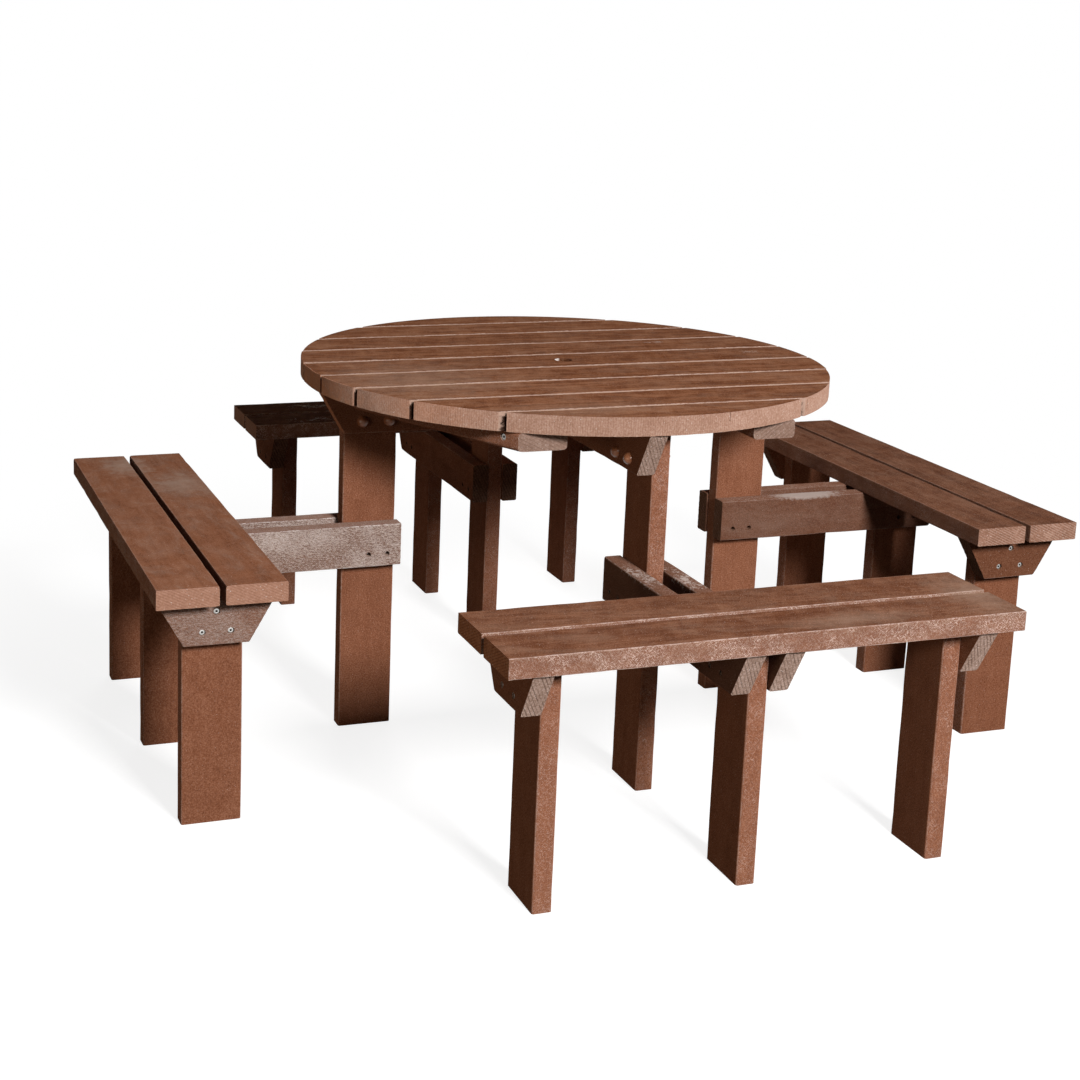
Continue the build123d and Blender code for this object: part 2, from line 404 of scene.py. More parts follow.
@dataclass(frozen=True)
class PlankFinish(Finish):
    """Pressed brown plastic of the planks' long faces, with streaks, flecks and rubbed edges."""

    dark: Colour = (0.130, 0.045, 0.022)
    mid: Colour = (0.205, 0.077, 0.040)
    pale: Colour = (0.285, 0.126, 0.073)
    side: Colour = (0.295, 0.138, 0.090)
    fleck: Colour = (0.60, 0.48, 0.42)
    haze: Colour = (0.40, 0.33, 0.295)
    powder: Colour = (0.33, 0.225, 0.175)
    chalk: Colour = (0.135, 0.082, 0.062)
    pepper: Colour = (0.075, 0.045, 0.034)
    contrast: float = 0.45
    streaks: float = 0.25
    chatter: float = 0.0
    specks: float = 0.55
    side_tint: float = 0.1
    side_flecks: float = 0.42
    wide_flecks: float = 0.05
    fleck_cover: float = -0.01
    frost: float = 0.0
    frost_cover: float = 0.0
    dust: float = 0.0
    wear: float = 0.3
    arris: float = 0.004
    roughness: float = 0.78
    scuffs: tuple[Scuff, ...] = ()

    def paint(self) -> Material:
        """Make the material."""
        return PlankPaint(self).layered()


class PlankPaint(Paint):
    """The material of a plank's long faces, laid layer over layer."""

    def __init__(self, finish: PlankFinish) -> None:
        """Read the plank's own coordinates and how far a point lies from its sides.

        Args:
            finish: the colours and amounts.
        """
        super().__init__(finish.name)
        self.finish = finish
        self.streaks: Feed = 0.0
        self.flecks: Feed = 0.0
        own = self.attribute("plank").outputs["Vector"]
        half = self.attribute("plank_half").outputs["Vector"]
        self.seed = self.attribute("plank_seed").outputs["Fac"]
        self.grain = self.vector("MULTIPLY_ADD", self.seed, SEED_SHIFT, own)
        inside = self.vector("SUBTRACT", half, self.vector("ABSOLUTE", own))
        self.across, self.deep = self.node("SeparateXYZ", {0: inside}).outputs[1:]

    def layered(self) -> Material:
        """Lay every layer.

        Returns:
            The material.
        """
        self.body()
        self.fleck()
        self.haze()
        self.rub()
        place = self.place()
        for scuff in self.finish.scuffs:
            over = self.finish.powder if scuff.kind is Rub.HAZE else self.finish.haze
            self.lay(scuff.mask(self, place), over)
        pores = self.noise(self.grain, 620.0, 3.0, 0.6)
        height = self.weigh((self.streaks, 0.9), (pores, 0.5), (self.flecks, 0.35))
        rough = self.finish.roughness
        return self.finished({
            "Base Color": self.colour,
            "Roughness": self.fade(self.streaks, 0.3, 0.7, rough - 0.07, rough + 0.09),
            "Specular IOR Level": MATT,
            "Diffuse Roughness": 0.8,
            "Normal": self.relief(height, 0.35, 0.0009),
        })

    def body(self) -> None:
        """Streaked and mottled brown."""
        finish, grain = self.finish, self.grain
        broad = self.drawn(grain, (6.5, 42.0, 42.0), 4.0, 0.62, 0.5)
        fine = self.drawn(grain, (18.0, 190.0, 190.0), 4.0, 0.65, 0.3)
        cross = self.drawn(grain, (40.0, 9.0, 40.0), 4.0, 0.65, 0.6, turn=(0, 0, 18))
        mottle = self.noise(grain, 24.0, 4.0, 0.6, 0.5)
        speckle = self.noise(grain, 430.0, 2.0, 0.6)
        layers = [(broad, 0.50 * finish.streaks), (fine, 0.30 * finish.streaks), (cross, finish.chatter),
                  (mottle, 0.14)]
        layers.append((speckle, 1.0 - sum(weight for _, weight in layers)))
        tone = self.weigh((self.math("SUBTRACT", self.seed, 0.5), 0.03), *layers)
        spread = 0.06 / finish.contrast
        stops = ((0.5 - spread, finish.dark), (0.5, finish.mid), (0.5 + 1.15 * spread, finish.pale))
        self.colour = self.ramp(tone, stops)
        self.streaks = self.math("MULTIPLY_ADD", fine, finish.streaks, speckle)

    def fleck(self) -> None:
        """Short pale fibres, denser on the narrow faces."""
        finish, grain = self.finish, self.grain
        cover = finish.fleck_cover
        flecks = self.fade(self.noise(grain, 820.0, 2.0, 0.5), 0.59 - cover, 0.66 - cover)
        for angle in (38, -47):
            strands = self.drawn(grain, (170.0, 900.0, 900.0), 2.0, 0.5, 0.6, turn=(0, angle, 0))
            fibres = self.fade(strands, 0.60 - cover, 0.67 - cover)
            flecks = self.math("MAXIMUM", flecks, fibres)
        patchy = self.fade(self.noise(grain, 27.0, 3.0), 0.36, 0.60, 0.35, 1.0)
        self.flecks = self.math("MULTIPLY", flecks, patchy)
        self.lay(self.fade(self.across, *NARROW_FACE, finish.side_tint, 0.0), finish.side)
        amount = self.fade(self.across, *NARROW_FACE, finish.side_flecks, finish.wide_flecks)
        self.lay(self.math("MULTIPLY", self.flecks, amount), finish.fleck)
        self.lay(self.fade(self.noise(grain, 520.0, 1.0), 0.71, 0.79, 0.0, finish.specks), finish.fleck)

    def haze(self) -> None:
        """Frosting from sawing and handling, most of it on the wide faces, and dusty swirls."""
        finish, grain = self.finish, self.grain
        fluff = self.noise(grain, 760.0 if finish.frost else 470.0, 3.0, 0.65)
        if finish.frost:
            strokes = self.drawn(grain, (150.0, 520.0, 520.0), 3.0, 0.65, 0.4, turn=(0, 0, 6))
            cloud = self.drawn(grain, (7.0, 12.0, 12.0), 4.0, 0.6, 0.5)
            frosted = self.weigh((strokes, 0.34), (cloud, 0.20), (fluff, 0.46))
            cover = finish.frost_cover
            share = self.fade(self.across, *NARROW_FACE, 0.18, 1.0)
            self.lay(0.6 * finish.frost, finish.chalk)
            veil = self.fade(frosted, 0.455 - cover, 0.595 - cover, 0.0, finish.frost)
            self.lay(self.math("MULTIPLY", veil, share), finish.haze)
            grit = self.fade(self.noise(grain, 480.0, 2.0, 0.6), 0.54, 0.66, 0.0, 0.6 * finish.frost)
            self.lay(grit, finish.pepper)
        if finish.dust:
            swirls = self.drawn(grain, (6.0, 13.0, 13.0), 6.0, 0.72, 1.4, turn=(0, 0, 14))
            smears = self.weigh((swirls, 0.65), (fluff, 0.35))
            self.lay(self.fade(smears, 0.46, 0.63, 0.0, finish.dust), finish.powder)

    def rub(self) -> None:
        """Pale broken lines along the rounded edges."""
        finish, grain = self.finish, self.grain
        arris = self.math("MAXIMUM", self.across, self.deep)
        worn = self.fade(arris, 0.28 * finish.arris, 0.66 * finish.arris, finish.wear, 0.0)
        broken = self.fade(self.drawn(grain, (130.0, 220.0, 220.0), 5.0, 0.8), 0.40, 0.58)
        faint = self.fade(self.drawn(grain, (14.0, 30.0, 30.0), 4.0, 0.7), 0.38, 0.58, 0.35, 1.0)
        self.lay(self.math("MULTIPLY", self.math("MULTIPLY", worn, broken), faint), finish.fleck)


@dataclass(frozen=True)
class SawnFinish(Finish):
    """A sawn end: paler than the long faces, speckled, with lines left by the saw, and any patches of painted
    light laid over it.
    """

    dark: Colour = (0.15, 0.092, 0.068)
    mid: Colour = (0.240, 0.160, 0.126)
    pale: Colour = (0.35, 0.258, 0.218)
    groove: Colour = (0.070, 0.040, 0.029)
    lines: SawLines = SawLines.SLANTED
    pitch: float = 0.008
    line_strength: float = 0.5
    rim_radius: float = 0.53
    grit: float = 0.7
    chalk: Colour = (0.80, 0.75, 0.72)
    specks: float = 0.5
    # Painted light: a brighter orange laid over given patches of a sawn face that the lamps leave dim.
    lit_tint: Colour = (0.58, 0.235, 0.115)
    lit_patches: tuple[Scuff, ...] = ()

    def paint(self) -> Material:
        """Lay the material's nodes.

        Returns:
            The material.
        """
        graph = Paint(self.name)
        place = graph.place()
        cloud = graph.noise(place, 21.0, 5.0, 0.65, 0.4)
        speckle = graph.noise(place, 300.0, 3.0, 0.65)
        tone = graph.weigh((speckle, self.grit), (cloud, 1.0 - self.grit))
        graph.colour = graph.ramp(tone, ((0.36, self.dark), (0.50, self.mid), (0.65, self.pale)))
        # Painted light: brighten the given patches.
        for spot in self.lit_patches:
            graph.lay(spot.mask(graph, place), self.lit_tint)
        cuts = self.saw_marks(graph, place)
        graph.lay(graph.math("MULTIPLY", cuts, self.line_strength), self.groove)
        graph.lay(graph.fade(graph.noise(place, 380.0, 1.0), 0.71, 0.77, 0.0, self.specks), self.chalk)
        height = graph.math("SUBTRACT", graph.math("MULTIPLY", speckle, 0.6), cuts)
        return graph.finished({
            "Base Color": graph.colour,
            "Roughness": graph.fade(speckle, 0.3, 0.7, 0.68, 0.82),
            "Specular IOR Level": MATT,
            "Diffuse Roughness": 0.9,
            "Normal": graph.relief(height, 0.4, 0.0007),
        })

    def saw_marks(self, graph: Graph, place: Socket) -> Socket:
        """Lines left by the saw's teeth.

        Args:
            graph: the material's nodes.
            place: Object coordinates.

        Returns:
            One in a line, zero between two.
        """
        if self.lines is SawLines.UPRIGHT:
            x, y = graph.node("SeparateXYZ", {0: place}).outputs[:2]
            run = graph.math("MULTIPLY", graph.math("ARCTAN2", x, y), self.rim_radius)
            wander = graph.math("MULTIPLY", graph.noise(place, 40.0, 3.0), self.pitch)
            beat = graph.math("DIVIDE", graph.math("ADD", run, wander), self.pitch)
            wave = graph.math("ABSOLUTE", graph.math("SUBTRACT", graph.math("FRACT", beat), 0.5))
            line = graph.fade(wave, 0.30, 0.46)
        else:
            line = graph.fade(graph.attribute("kerf").outputs["Fac"], 0.5, 1.0)
        return graph.math("MULTIPLY", line, graph.fade(graph.noise(place, 85.0, 3.0, 0.6), 0.32, 0.52))


@dataclass(frozen=True)
class MetalFinish(Finish):
    """Turned metal with fine scratches and dull spots."""

    bright: Colour = (0.54, 0.52, 0.49)
    dull: Colour = (0.32, 0.305, 0.285)
    metallic: float = 1.0
    roughness: float = 0.34
    specular: float = 0.5

    def paint(self) -> Material:
        """Lay the material's nodes.

        Returns:
            The material.
        """
        graph = Paint(self.name)
        place = graph.place()
        spots = graph.noise(place, 420.0, 4.0, 0.65)
        scratches = graph.drawn(place, (2600.0, 300.0, 900.0), 3.0, 0.6, turn=(20, 35, 10))
        mixed = graph.weigh((scratches, 0.4), (spots, 0.6))
        return graph.finished({
            "Base Color": graph.ramp(mixed, ((0.35, self.dull), (0.62, self.bright))),
            "Roughness": graph.fade(mixed, 0.3, 0.7, self.roughness + 0.14, self.roughness - 0.08),
            "Metallic": self.metallic,
            "Specular IOR Level": self.specular,
            "Normal": graph.relief(scratches, 0.2, 0.0002),
        })


def frustum(bm: BMesh, radius: float, start: Vector, end: Vector, segments: int) -> list:
    """Add a closed cylinder between two points.

    Args:
        bm: the mesh to add to.
        radius: its radius.
        start: centre of one end.
        end: centre of the other end.
        segments: sides.

    Returns:
        Its vertices.
    """
    axis = end - start
    turn = axis.to_track_quat("Z", "Y").to_matrix().to_4x4()
    middle = Matrix.Translation((start + end) / 2)
    made = bmesh.ops.create_cone(bm, cap_ends=True, segments=segments, radius1=radius, radius2=radius,
                                 depth=axis.length, matrix=middle @ turn)
    return made["verts"]


def bevel(bm: BMesh, edges: Sequence, width: float, segments: int) -> None:
    """Round edges over by a width on each face, in a number of segments."""
    bmesh.ops.bevel(bm, geom=list(edges), offset=width, offset_type="OFFSET", segments=segments,
                    profile=0.5, affect="EDGES", clamp_overlap=True, material=-1)


def cut(bm: BMesh, geom: Sequence, point: Vector, normal: Vector, clear: bool = False) -> dict:
    """Cut geometry along a plane; clear takes away what lies on the normal's side."""
    return bmesh.ops.bisect_plane(bm, geom=list(geom), dist=HAIR, plane_co=point, plane_no=normal,
                                  clear_outer=clear)


def everything(bm: BMesh) -> list:
    """All vertices, edges and faces of a mesh."""
    return bm.verts[:] + bm.edges[:] + bm.faces[:]


def add_object(name: str, bm: BMesh) -> Object:
    """Turn a mesh under construction into an object of the scene.

    Args:
        name: the object's name.
        bm: the mesh, which is freed.

    Returns:
        The object.
    """
    mesh = bpy.data.meshes.new(name)
    bm.to_mesh(mesh)
    bm.free()
    made = bpy.data.objects.new(name, mesh)
    bpy.context.scene.collection.objects.link(made)
    return made


def gap(value: float, *places: float) -> float:
    """Distance from a value to the nearest of some places."""
    return min(abs(value - place) for place in places)


def hand_over(made: Object, node: str, slot: Slot) -> None:
    """Shade a finished piece evenly, put it in place of a CAD node and report it.

    Args:
        made: the piece.
        node: the CAD node that it stands for.
        slot: not used.
    """
    weighted = made.modifiers.new("even_shading", "WEIGHTED_NORMAL")
    weighted.keep_sharp = True
    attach(made, BODY)
    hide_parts(node)
    LOG.info("%s: %d faces", made.name, len(made.data.polygons))


def crease(bm: BMesh, degrees: float = 34.0) -> None:
    """Mark edges sharper than an angle, and shade the faces smoothly.

    Args:
        bm: the mesh.
        degrees: the angle between two faces.
    """
    bm.normal_update()
    for face in bm.faces:
        face.smooth = True
    for edge in bm.edges:
        edge.smooth = edge.is_manifold and edge.calc_face_angle(0.0) < math.radians(degrees)


@dataclass
class Fixing:
    """A screw, bolt or nut as the CAD model has it."""

    top: Vector
    outward: Vector
    radius: float
    length: float


def loose_parts(bm: BMesh) -> list[np.ndarray]:
    """Points of each part of a mesh that hangs together.

    Args:
        bm: the mesh.

    Returns:
        One array of points for each part.
    """
    seen = set()
    parts = []
    for start in bm.verts:
        if start in seen:
            continue
        part = [start]
        seen.add(start)
        for vertex in part:
            for edge in vertex.link_edges:
                other = edge.other_vert(vertex)
                if other not in seen:
                    seen.add(other)
                    part.append(other)
        parts.append(np.array([vertex.co for vertex in part]))
    return parts


def fixings(node: str, flat: bool = False) -> list[Fixing]:
    """Read the fixings of a CAD node; some are driven a little below the face.

    Args:
        node: the node's name.
        flat: whether they are shorter than they are wide, as nuts are.

    Returns:
        Where each one's head is, and which way it points.
    """
    bm = bmesh.new()
    bm.from_mesh(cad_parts[node].data)
    bmesh.ops.remove_doubles(bm, verts=bm.verts[:], dist=HAIR)
    found = []
    for points in loose_parts(bm):
        centre = (points.min(0) + points.max(0)) / 2
        axes = np.linalg.svd(points - points.mean(0))[2]
        axis = axes[2] if flat else axes[0]
        along = (points - centre) @ axis
        apart = np.linalg.norm(points - centre - np.outer(along, axis), axis=1)
        wide = along[apart > HEAD_SHARE * apart.max()].mean()
        sign = -1.0 if (wide < along.mean()) != flat else 1.0
        outward = Vector(axis * sign)
        reach = float((along * sign).max()) - DRIVEN.get(node, 0.0)
        top = Vector(centre) + outward * reach
        found.append(Fixing(top, outward, float(apart.max()), float(np.ptp(along))))
    bm.free()
    return found


@dataclass
class Plank:
    """One straight plank with rounded long edges and sawn ends, in place of a CAD node."""

    node: str
    along: Axis
    across: Axis
    finish: PlankFinish
    sawn: SawnFinish
    number: int
    arris: float = 0.004  # rounding of the long edges
    sloped: tuple[int, ...] = ()  # ends that are cut back at an angle
    slope: float = math.tan(math.radians(30.0))
    setback: float = 0.0003  # how far a cut-back end stays inside its box
    kerf_pitch: float = 0.0  # from one saw groove to the next; none at zero
    kerf_depth: float = 0.0005
    kerf_lean: tuple[float, float] = (0.9, 0.44)  # across the grooves: through the plank, and up
    kerf_stray: float = 0.3  # share of the pitch by which grooves stray
    kerf_play: float = 0.003  # how far off an end's plane its faces may lie
    end_facing: float = 0.7  # least cosine between an end's faces and its plane
    end_margin: float = 0.006  # length at an end that isn't divided
    cut_step: float = 0.034  # length between two divisions
    bow: tuple[float, float] = (0.0004, 0.0003)  # how far the faces wander, across and through
    bow_pace: float = 2.1
    nick: float = 0.0011  # depth of the nicks, at most
    nick_pace: tuple[float, float] = (23.0, 40.0)
    nick_floor: float = 0.05
    nick_band: float = 1.05  # how far the nicks reach, in roundings
    holes: Sequence[Fixing] = ()
    hole_play: float = 0.0003  # space around a screw's head
    wall_play: float = 0.0005
    wall_facing: float = 0.3
    hole_sides: int = 28
    cutter_reach: float = 0.06

    def __post_init__(self) -> None:
        """Read the plank's place from its node."""
        self.low, self.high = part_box(self.node)
        self.seed = (self.number * GOLDEN) % 1.0

    @property
    def thick(self) -> Axis:
        """The axis of the plank's thickness."""
        return Axis(3 - self.along.value - self.across.value)

    @property
    def centre(self) -> Vector:
        """Middle of the plank's box."""
        return (self.low + self.high) / 2

    @property
    def half(self) -> Vector:
        """Half sizes: along, across and through the plank."""
        return self.ordered((self.high - self.low) / 2)

    def ordered(self, vector: Vector) -> Vector:
        """A vector's parts along, across and through the plank."""
        return Vector([vector[axis.value] for axis in (self.along, self.across, self.thick)])

    def own(self, point: Vector) -> Vector:
        """A point in the plank's own axes, from its centre."""
        return self.ordered(point - self.centre)

    def end_plane(self, end: int) -> tuple[Vector, Vector]:
        """Plane of an end.

        Args:
            end: -1 or 1, the end's side.

        Returns:
            A point on it and its outward normal.
        """
        point = self.centre + self.along.vector * (end * self.half[0])
        normal = self.along.vector * end
        if end in self.sloped:
            point.z = self.high.z
            point -= self.along.vector * (end * self.setback)
            normal = (normal - Axis.Z.vector * self.slope).normalized()
        return point, normal

    def blank(self) -> BMesh:
        """Shape the plank before it weathers: planed, rounded and sawn to length.

        Returns:
            The plank's mesh.
        """
        bm = bmesh.new()
        bmesh.ops.create_cube(bm, size=1.0)
        bmesh.ops.scale(bm, vec=self.high - self.low, verts=bm.verts)
        bmesh.ops.translate(bm, vec=self.centre, verts=bm.verts)
        long_edges = [edge for edge in bm.edges if self.runs_along(edge)]
        bevel(bm, long_edges, self.arris, ARRIS_STEPS)
        for end in self.sloped:
            made = cut(bm, everything(bm), *self.end_plane(end), clear=True)
            rim = [item for item in made["geom_cut"] if isinstance(item, BMEdge)]
            bmesh.ops.edgeloop_fill(bm, edges=rim)
        return bm

    def runs_along(self, edge: BMEdge) -> bool:
        """Whether an edge follows the plank's length."""
        run = edge.verts[1].co - edge.verts[0].co
        return abs(run.normalized() @ self.along.vector) > PARALLEL

    def cross_cut(self, bm: BMesh) -> None:
        """Divide the plank's length, so that its edges can wander.

        Args:
            bm: the plank's mesh.
        """
        taper = 2 * self.half[1] * self.slope
        start = -self.half[0] + (taper if -1 in self.sloped else 0.0) + self.end_margin
        end = self.half[0] - (taper if 1 in self.sloped else 0.0) - self.end_margin
        count = max(int((end - start) / self.cut_step), 1)
        for step in range(count + 1):
            reach = start + (end - start) * step / count
            cut(bm, everything(bm), self.centre + self.along.vector * reach, self.along.vector)

    def kerf(self, bm: BMesh) -> None:
        """Grooves that the saw left across the ends.

        Args:
            bm: the plank's mesh.
        """
        bm.verts.layers.float.new("kerf")
        for end in BOTH_ENDS:
            point, normal = self.end_plane(end)
            bm.normal_update()
            faces = [face for face in bm.faces if face.normal @ normal > PARALLEL
                     and abs((face.calc_center_median() - point) @ normal) < FACE_PLAY]
            side = self.thick.vector
            rise = normal.cross(side)
            if rise.z < 0 or (abs(rise.z) < 0.5 and rise[self.across.value] < 0):
                rise.negate()
            across = (side * self.kerf_lean[0] + rise * self.kerf_lean[1]).normalized()
            self.groove(bm, faces, across, normal)

    def groove(self, bm: BMesh, faces: list, across: Vector, normal: Vector) -> None:
        """Press every second of a set of lines into an end.

        Args:
            bm: the mesh.
            faces: the end's faces.
            across: direction across the lines.
            normal: the end's outward normal.
        """
        edges = dict.fromkeys(edge for face in faces for edge in face.edges)
        verts = dict.fromkeys(vertex for face in faces for vertex in face.verts)
        geom = [*verts, *edges, *faces]
        places = [vertex.co @ across for vertex in verts]
        count = int((max(places) - min(places)) / (self.kerf_pitch / 2))
        pressed = []
        for step in range(1, count):
            shift = self.kerf_stray * noise.noise(Vector((step * 1.7, self.seed * 9.0, 0.0)))
            reach = min(places) + (step + shift) * self.kerf_pitch / 2
            made = cut(bm, geom, across * reach, across)
            geom = made["geom"]
            if step % 2:
                pressed += [item for item in made["geom_cut"] if isinstance(item, BMVert)]
        mark = bm.verts.layers.float["kerf"]
        for vertex in pressed:
            vertex.co -= normal * self.kerf_depth * (0.7 + 0.5 * noise.noise(vertex.co * 60.0))
            vertex[mark] = 1.0

    def weather(self, bm: BMesh) -> None:
        """Let the faces wander a little and nick the long edges.

        Args:
            bm: the plank's mesh.
        """
        across = self.across.vector
        thick = self.thick.vector
        slow, fast = self.nick_pace
        for vertex in bm.verts:
            own = self.own(vertex.co)
            spot = Vector((own.x * self.bow_pace, self.seed * 31.0, 0.0))
            wide = self.bow[0] * noise.noise(spot)
            deep = self.bow[1] * noise.noise(spot + Vector((0.0, 0.0, 5.0)))
            corner = max(self.half[1] - abs(own.y), self.half[2] - abs(own.z))
            if corner < self.nick_band * self.arris:
                spot = Vector((own.x * slow, own.y * fast + self.seed * 17.0, own.z * fast))
                chip = self.nick * max(noise.noise(spot) - self.nick_floor, 0.0)
                wide -= math.copysign(chip, own.y)
                deep -= math.copysign(chip, own.z)
            vertex.co += across * wide + thick * deep

    def cutters(self) -> BMesh:
        """Shape what is cut out of the plank: the recesses of the fixings that sit in it.

        Returns:
            The forms in one mesh.
        """
        bm = bmesh.new()
        for hole in self.holes:
            seat = hole.top - hole.outward * HEAD_HEIGHT
            mouth = seat + hole.outward * self.cutter_reach
            frustum(bm, hole.radius + self.hole_play, seat, mouth, self.hole_sides)
        return bm

    def drill(self, made: Object, cutters: BMesh) -> None:
        """Cut forms out of the plank.

        Args:
            made: the plank's object.
            cutters: the forms, which are freed.
        """
        cutter = add_object(f"{self.node}_cutter", cutters)
        modifier = made.modifiers.new("recesses", "BOOLEAN")
        modifier.operation = "DIFFERENCE"
        modifier.solver = "EXACT"
        modifier.object = cutter
        depsgraph = bpy.context.evaluated_depsgraph_get()
        drilled = bpy.data.meshes.new_from_object(made.evaluated_get(depsgraph))
        made.modifiers.clear()
        bpy.data.objects.remove(cutter)
        blank = made.data
        if len(drilled.polygons) < len(blank.polygons) / 2:
            LOG.warning("%s: cut failed, left whole", made.name)
            bpy.data.meshes.remove(drilled)
            return
        made.data = drilled
        drilled.name = blank.name + "_drilled"
        bpy.data.meshes.remove(blank)

    def finishes(self) -> list[Finish]:
        """The plank's finishes, in the order of its material slots."""
        return [self.finish, self.sawn]

    def finish_index(self, face: BMFace) -> int:
        """Place of a face's finish among the plank's finishes."""
        return (Coat.SAWN if self.is_sawn(face) else Coat.FACE).value

    def is_sawn(self, face: BMFace) -> bool:
        """Tell the sawn faces from the long ones.

        Args:
            face: the face.

        Returns:
            Whether it is an end, or the wall of a recess.
        """
        middle = face.calc_center_median()
        for end in BOTH_ENDS:
            point, normal = self.end_plane(end)
            if face.normal @ normal > self.end_facing and abs((middle - point) @ normal) < self.kerf_play:
                return True
        return any(self.lines_hole(face, middle, hole) for hole in self.holes)

    def lines_hole(self, face: BMFace, middle: Vector, hole: Fixing) -> bool:
        """Whether a face is the wall of a recess.

        Args:
            face: the face.
            middle: its middle.
            hole: the fixing in the recess.

        Returns:
            True for the wall's narrow strips.
        """
        offset = middle - hole.top
        height = offset @ hole.outward
        apart = (offset - hole.outward * height).length
        upright = abs(face.normal @ hole.outward) < self.wall_facing
        return upright and apart < hole.radius + self.wall_play and height > -1.5 * HEAD_HEIGHT

    def dress(self, made: Object) -> None:
        """Give the plank its finishes and the attributes that they read.

        Args:
            made: the plank's object.
        """
        mesh = made.data
        mesh.materials.clear()
        for finish in self.finishes():
            mesh.materials.append(finish.material())
        bm = bmesh.new()
        bm.from_mesh(mesh)
        crease(bm)
        for face in bm.faces:
            face.material_index = self.finish_index(face)
        bm.to_mesh(mesh)
        bm.free()
        places = [part for vertex in mesh.vertices for part in self.own(vertex.co)]
        sizes = list(self.half) * len(mesh.vertices)
        for name, values in (("plank", places), ("plank_half", sizes)):
            mesh.attributes.new(name, "FLOAT_VECTOR", "POINT").data.foreach_set("vector", values)
        seeds = [self.seed] * len(mesh.vertices)
        mesh.attributes.new("plank_seed", "FLOAT", "POINT").data.foreach_set("value", seeds)

    def make(self) -> None:
        """Build and dress the plank, which replaces its node."""
        bm = self.blank()
        self.cross_cut(bm)
        if self.kerf_pitch:
            self.kerf(bm)
        self.weather(bm)
        bmesh.ops.recalc_face_normals(bm, faces=bm.faces[:])
        made = add_object(f"{self.node}_plank", bm)
        cutters = self.cutters()
        if cutters.verts:
            self.drill(made, cutters)
        self.dress(made)
        hand_over(made, self.node, Slot.PLANK)

    def takes(self, hole: Fixing) -> bool:
        """Whether a fixing's head sits inside this plank's box."""
        seat = hole.top - hole.outward * HEAD_HEIGHT / 2
        return all(self.low[i] - FACE_PLAY < seat[i] < self.high[i] + FACE_PLAY for i in range(3))

    def with_holes(self, every: Iterable[Fixing]) -> "Plank":
        """This plank with the recesses of the fixings that sit in it."""
        self.holes = [hole for hole in every if self.takes(hole)]
        return self


@dataclass
class AskewBatten(Plank):
    """A batten laid flat and askew, its ends sawn in line with the slats; worked on unturned."""

    turn: float = 25.0

    def __post_init__(self) -> None:
        """Read the batten's box in its own turned axes."""
        super().__post_init__()
        self.ends = dict(zip(BOTH_ENDS, (self.low.y, self.high.y)))
        back = self.turning.inverted()
        points = [back @ vertex.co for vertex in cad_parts[self.node].data.vertices]
        self.low = Vector([min(point[i] for point in points) for i in range(3)])
        self.high = Vector([max(point[i] for point in points) for i in range(3)])
        self.sloped = BOTH_ENDS
        self.slope = math.tan(math.radians(self.turn))

    @property
    def turning(self) -> Matrix:
        """The batten's turn about the table's axis."""
        return Matrix.Rotation(math.radians(self.turn), 3, "Z")

    def end_plane(self, end: int) -> tuple[Vector, Vector]:
        """Plane of an end, which lies square to the slats' width.

        Args:
            end: -1 or 1, the end's side.

        Returns:
            A point on it and its outward normal, in the turned axes.
        """
        back = self.turning.inverted()
        return back @ (Axis.Y.vector * self.ends[end]), back @ (Axis.Y.vector * end)

    def with_holes(self, every: Iterable[Fixing]) -> Plank:
        """Give the batten the recesses of the fixings that sit in it.

        Args:
            every: all fixings, in the shared frame.

        Returns:
            This batten.
        """
        back = self.turning.inverted()
        turned = [Fixing(back @ hole.top, back @ hole.outward, hole.radius, hole.length) for hole in every]
        return super().with_holes(turned)

    def dress(self, made: Object) -> None:
        """Dress the batten, then turn it into its place.

        Args:
            made: the batten's object.
        """
        super().dress(made)
        made.data.transform(self.turning.to_4x4())


@dataclass(frozen=True)
class Slit:
    """A thin cut or crack in the table's rim."""

    angle: float
    width: float
    depth: float
    top: float
    bottom: float
    lean: float = 0.0

    def cutter(self, bm: BMesh, radius: float) -> None:
        """Add the form that cuts it.

        Args:
            bm: the mesh to add to.
            radius: the rim's radius.
        """
        made = bmesh.ops.create_cube(bm, size=1.0)["verts"]
        bmesh.ops.scale(bm, vec=(2 * self.depth, self.width, self.top - self.bottom), verts=made)
        bmesh.ops.rotate(bm, matrix=Matrix.Rotation(math.radians(self.lean), 3, "X"), verts=made)
        bmesh.ops.translate(bm, vec=(radius, 0.0, (self.top + self.bottom) / 2), verts=made)
        bmesh.ops.rotate(bm, matrix=Matrix.Rotation(math.radians(self.angle), 3, "Z"), verts=made)


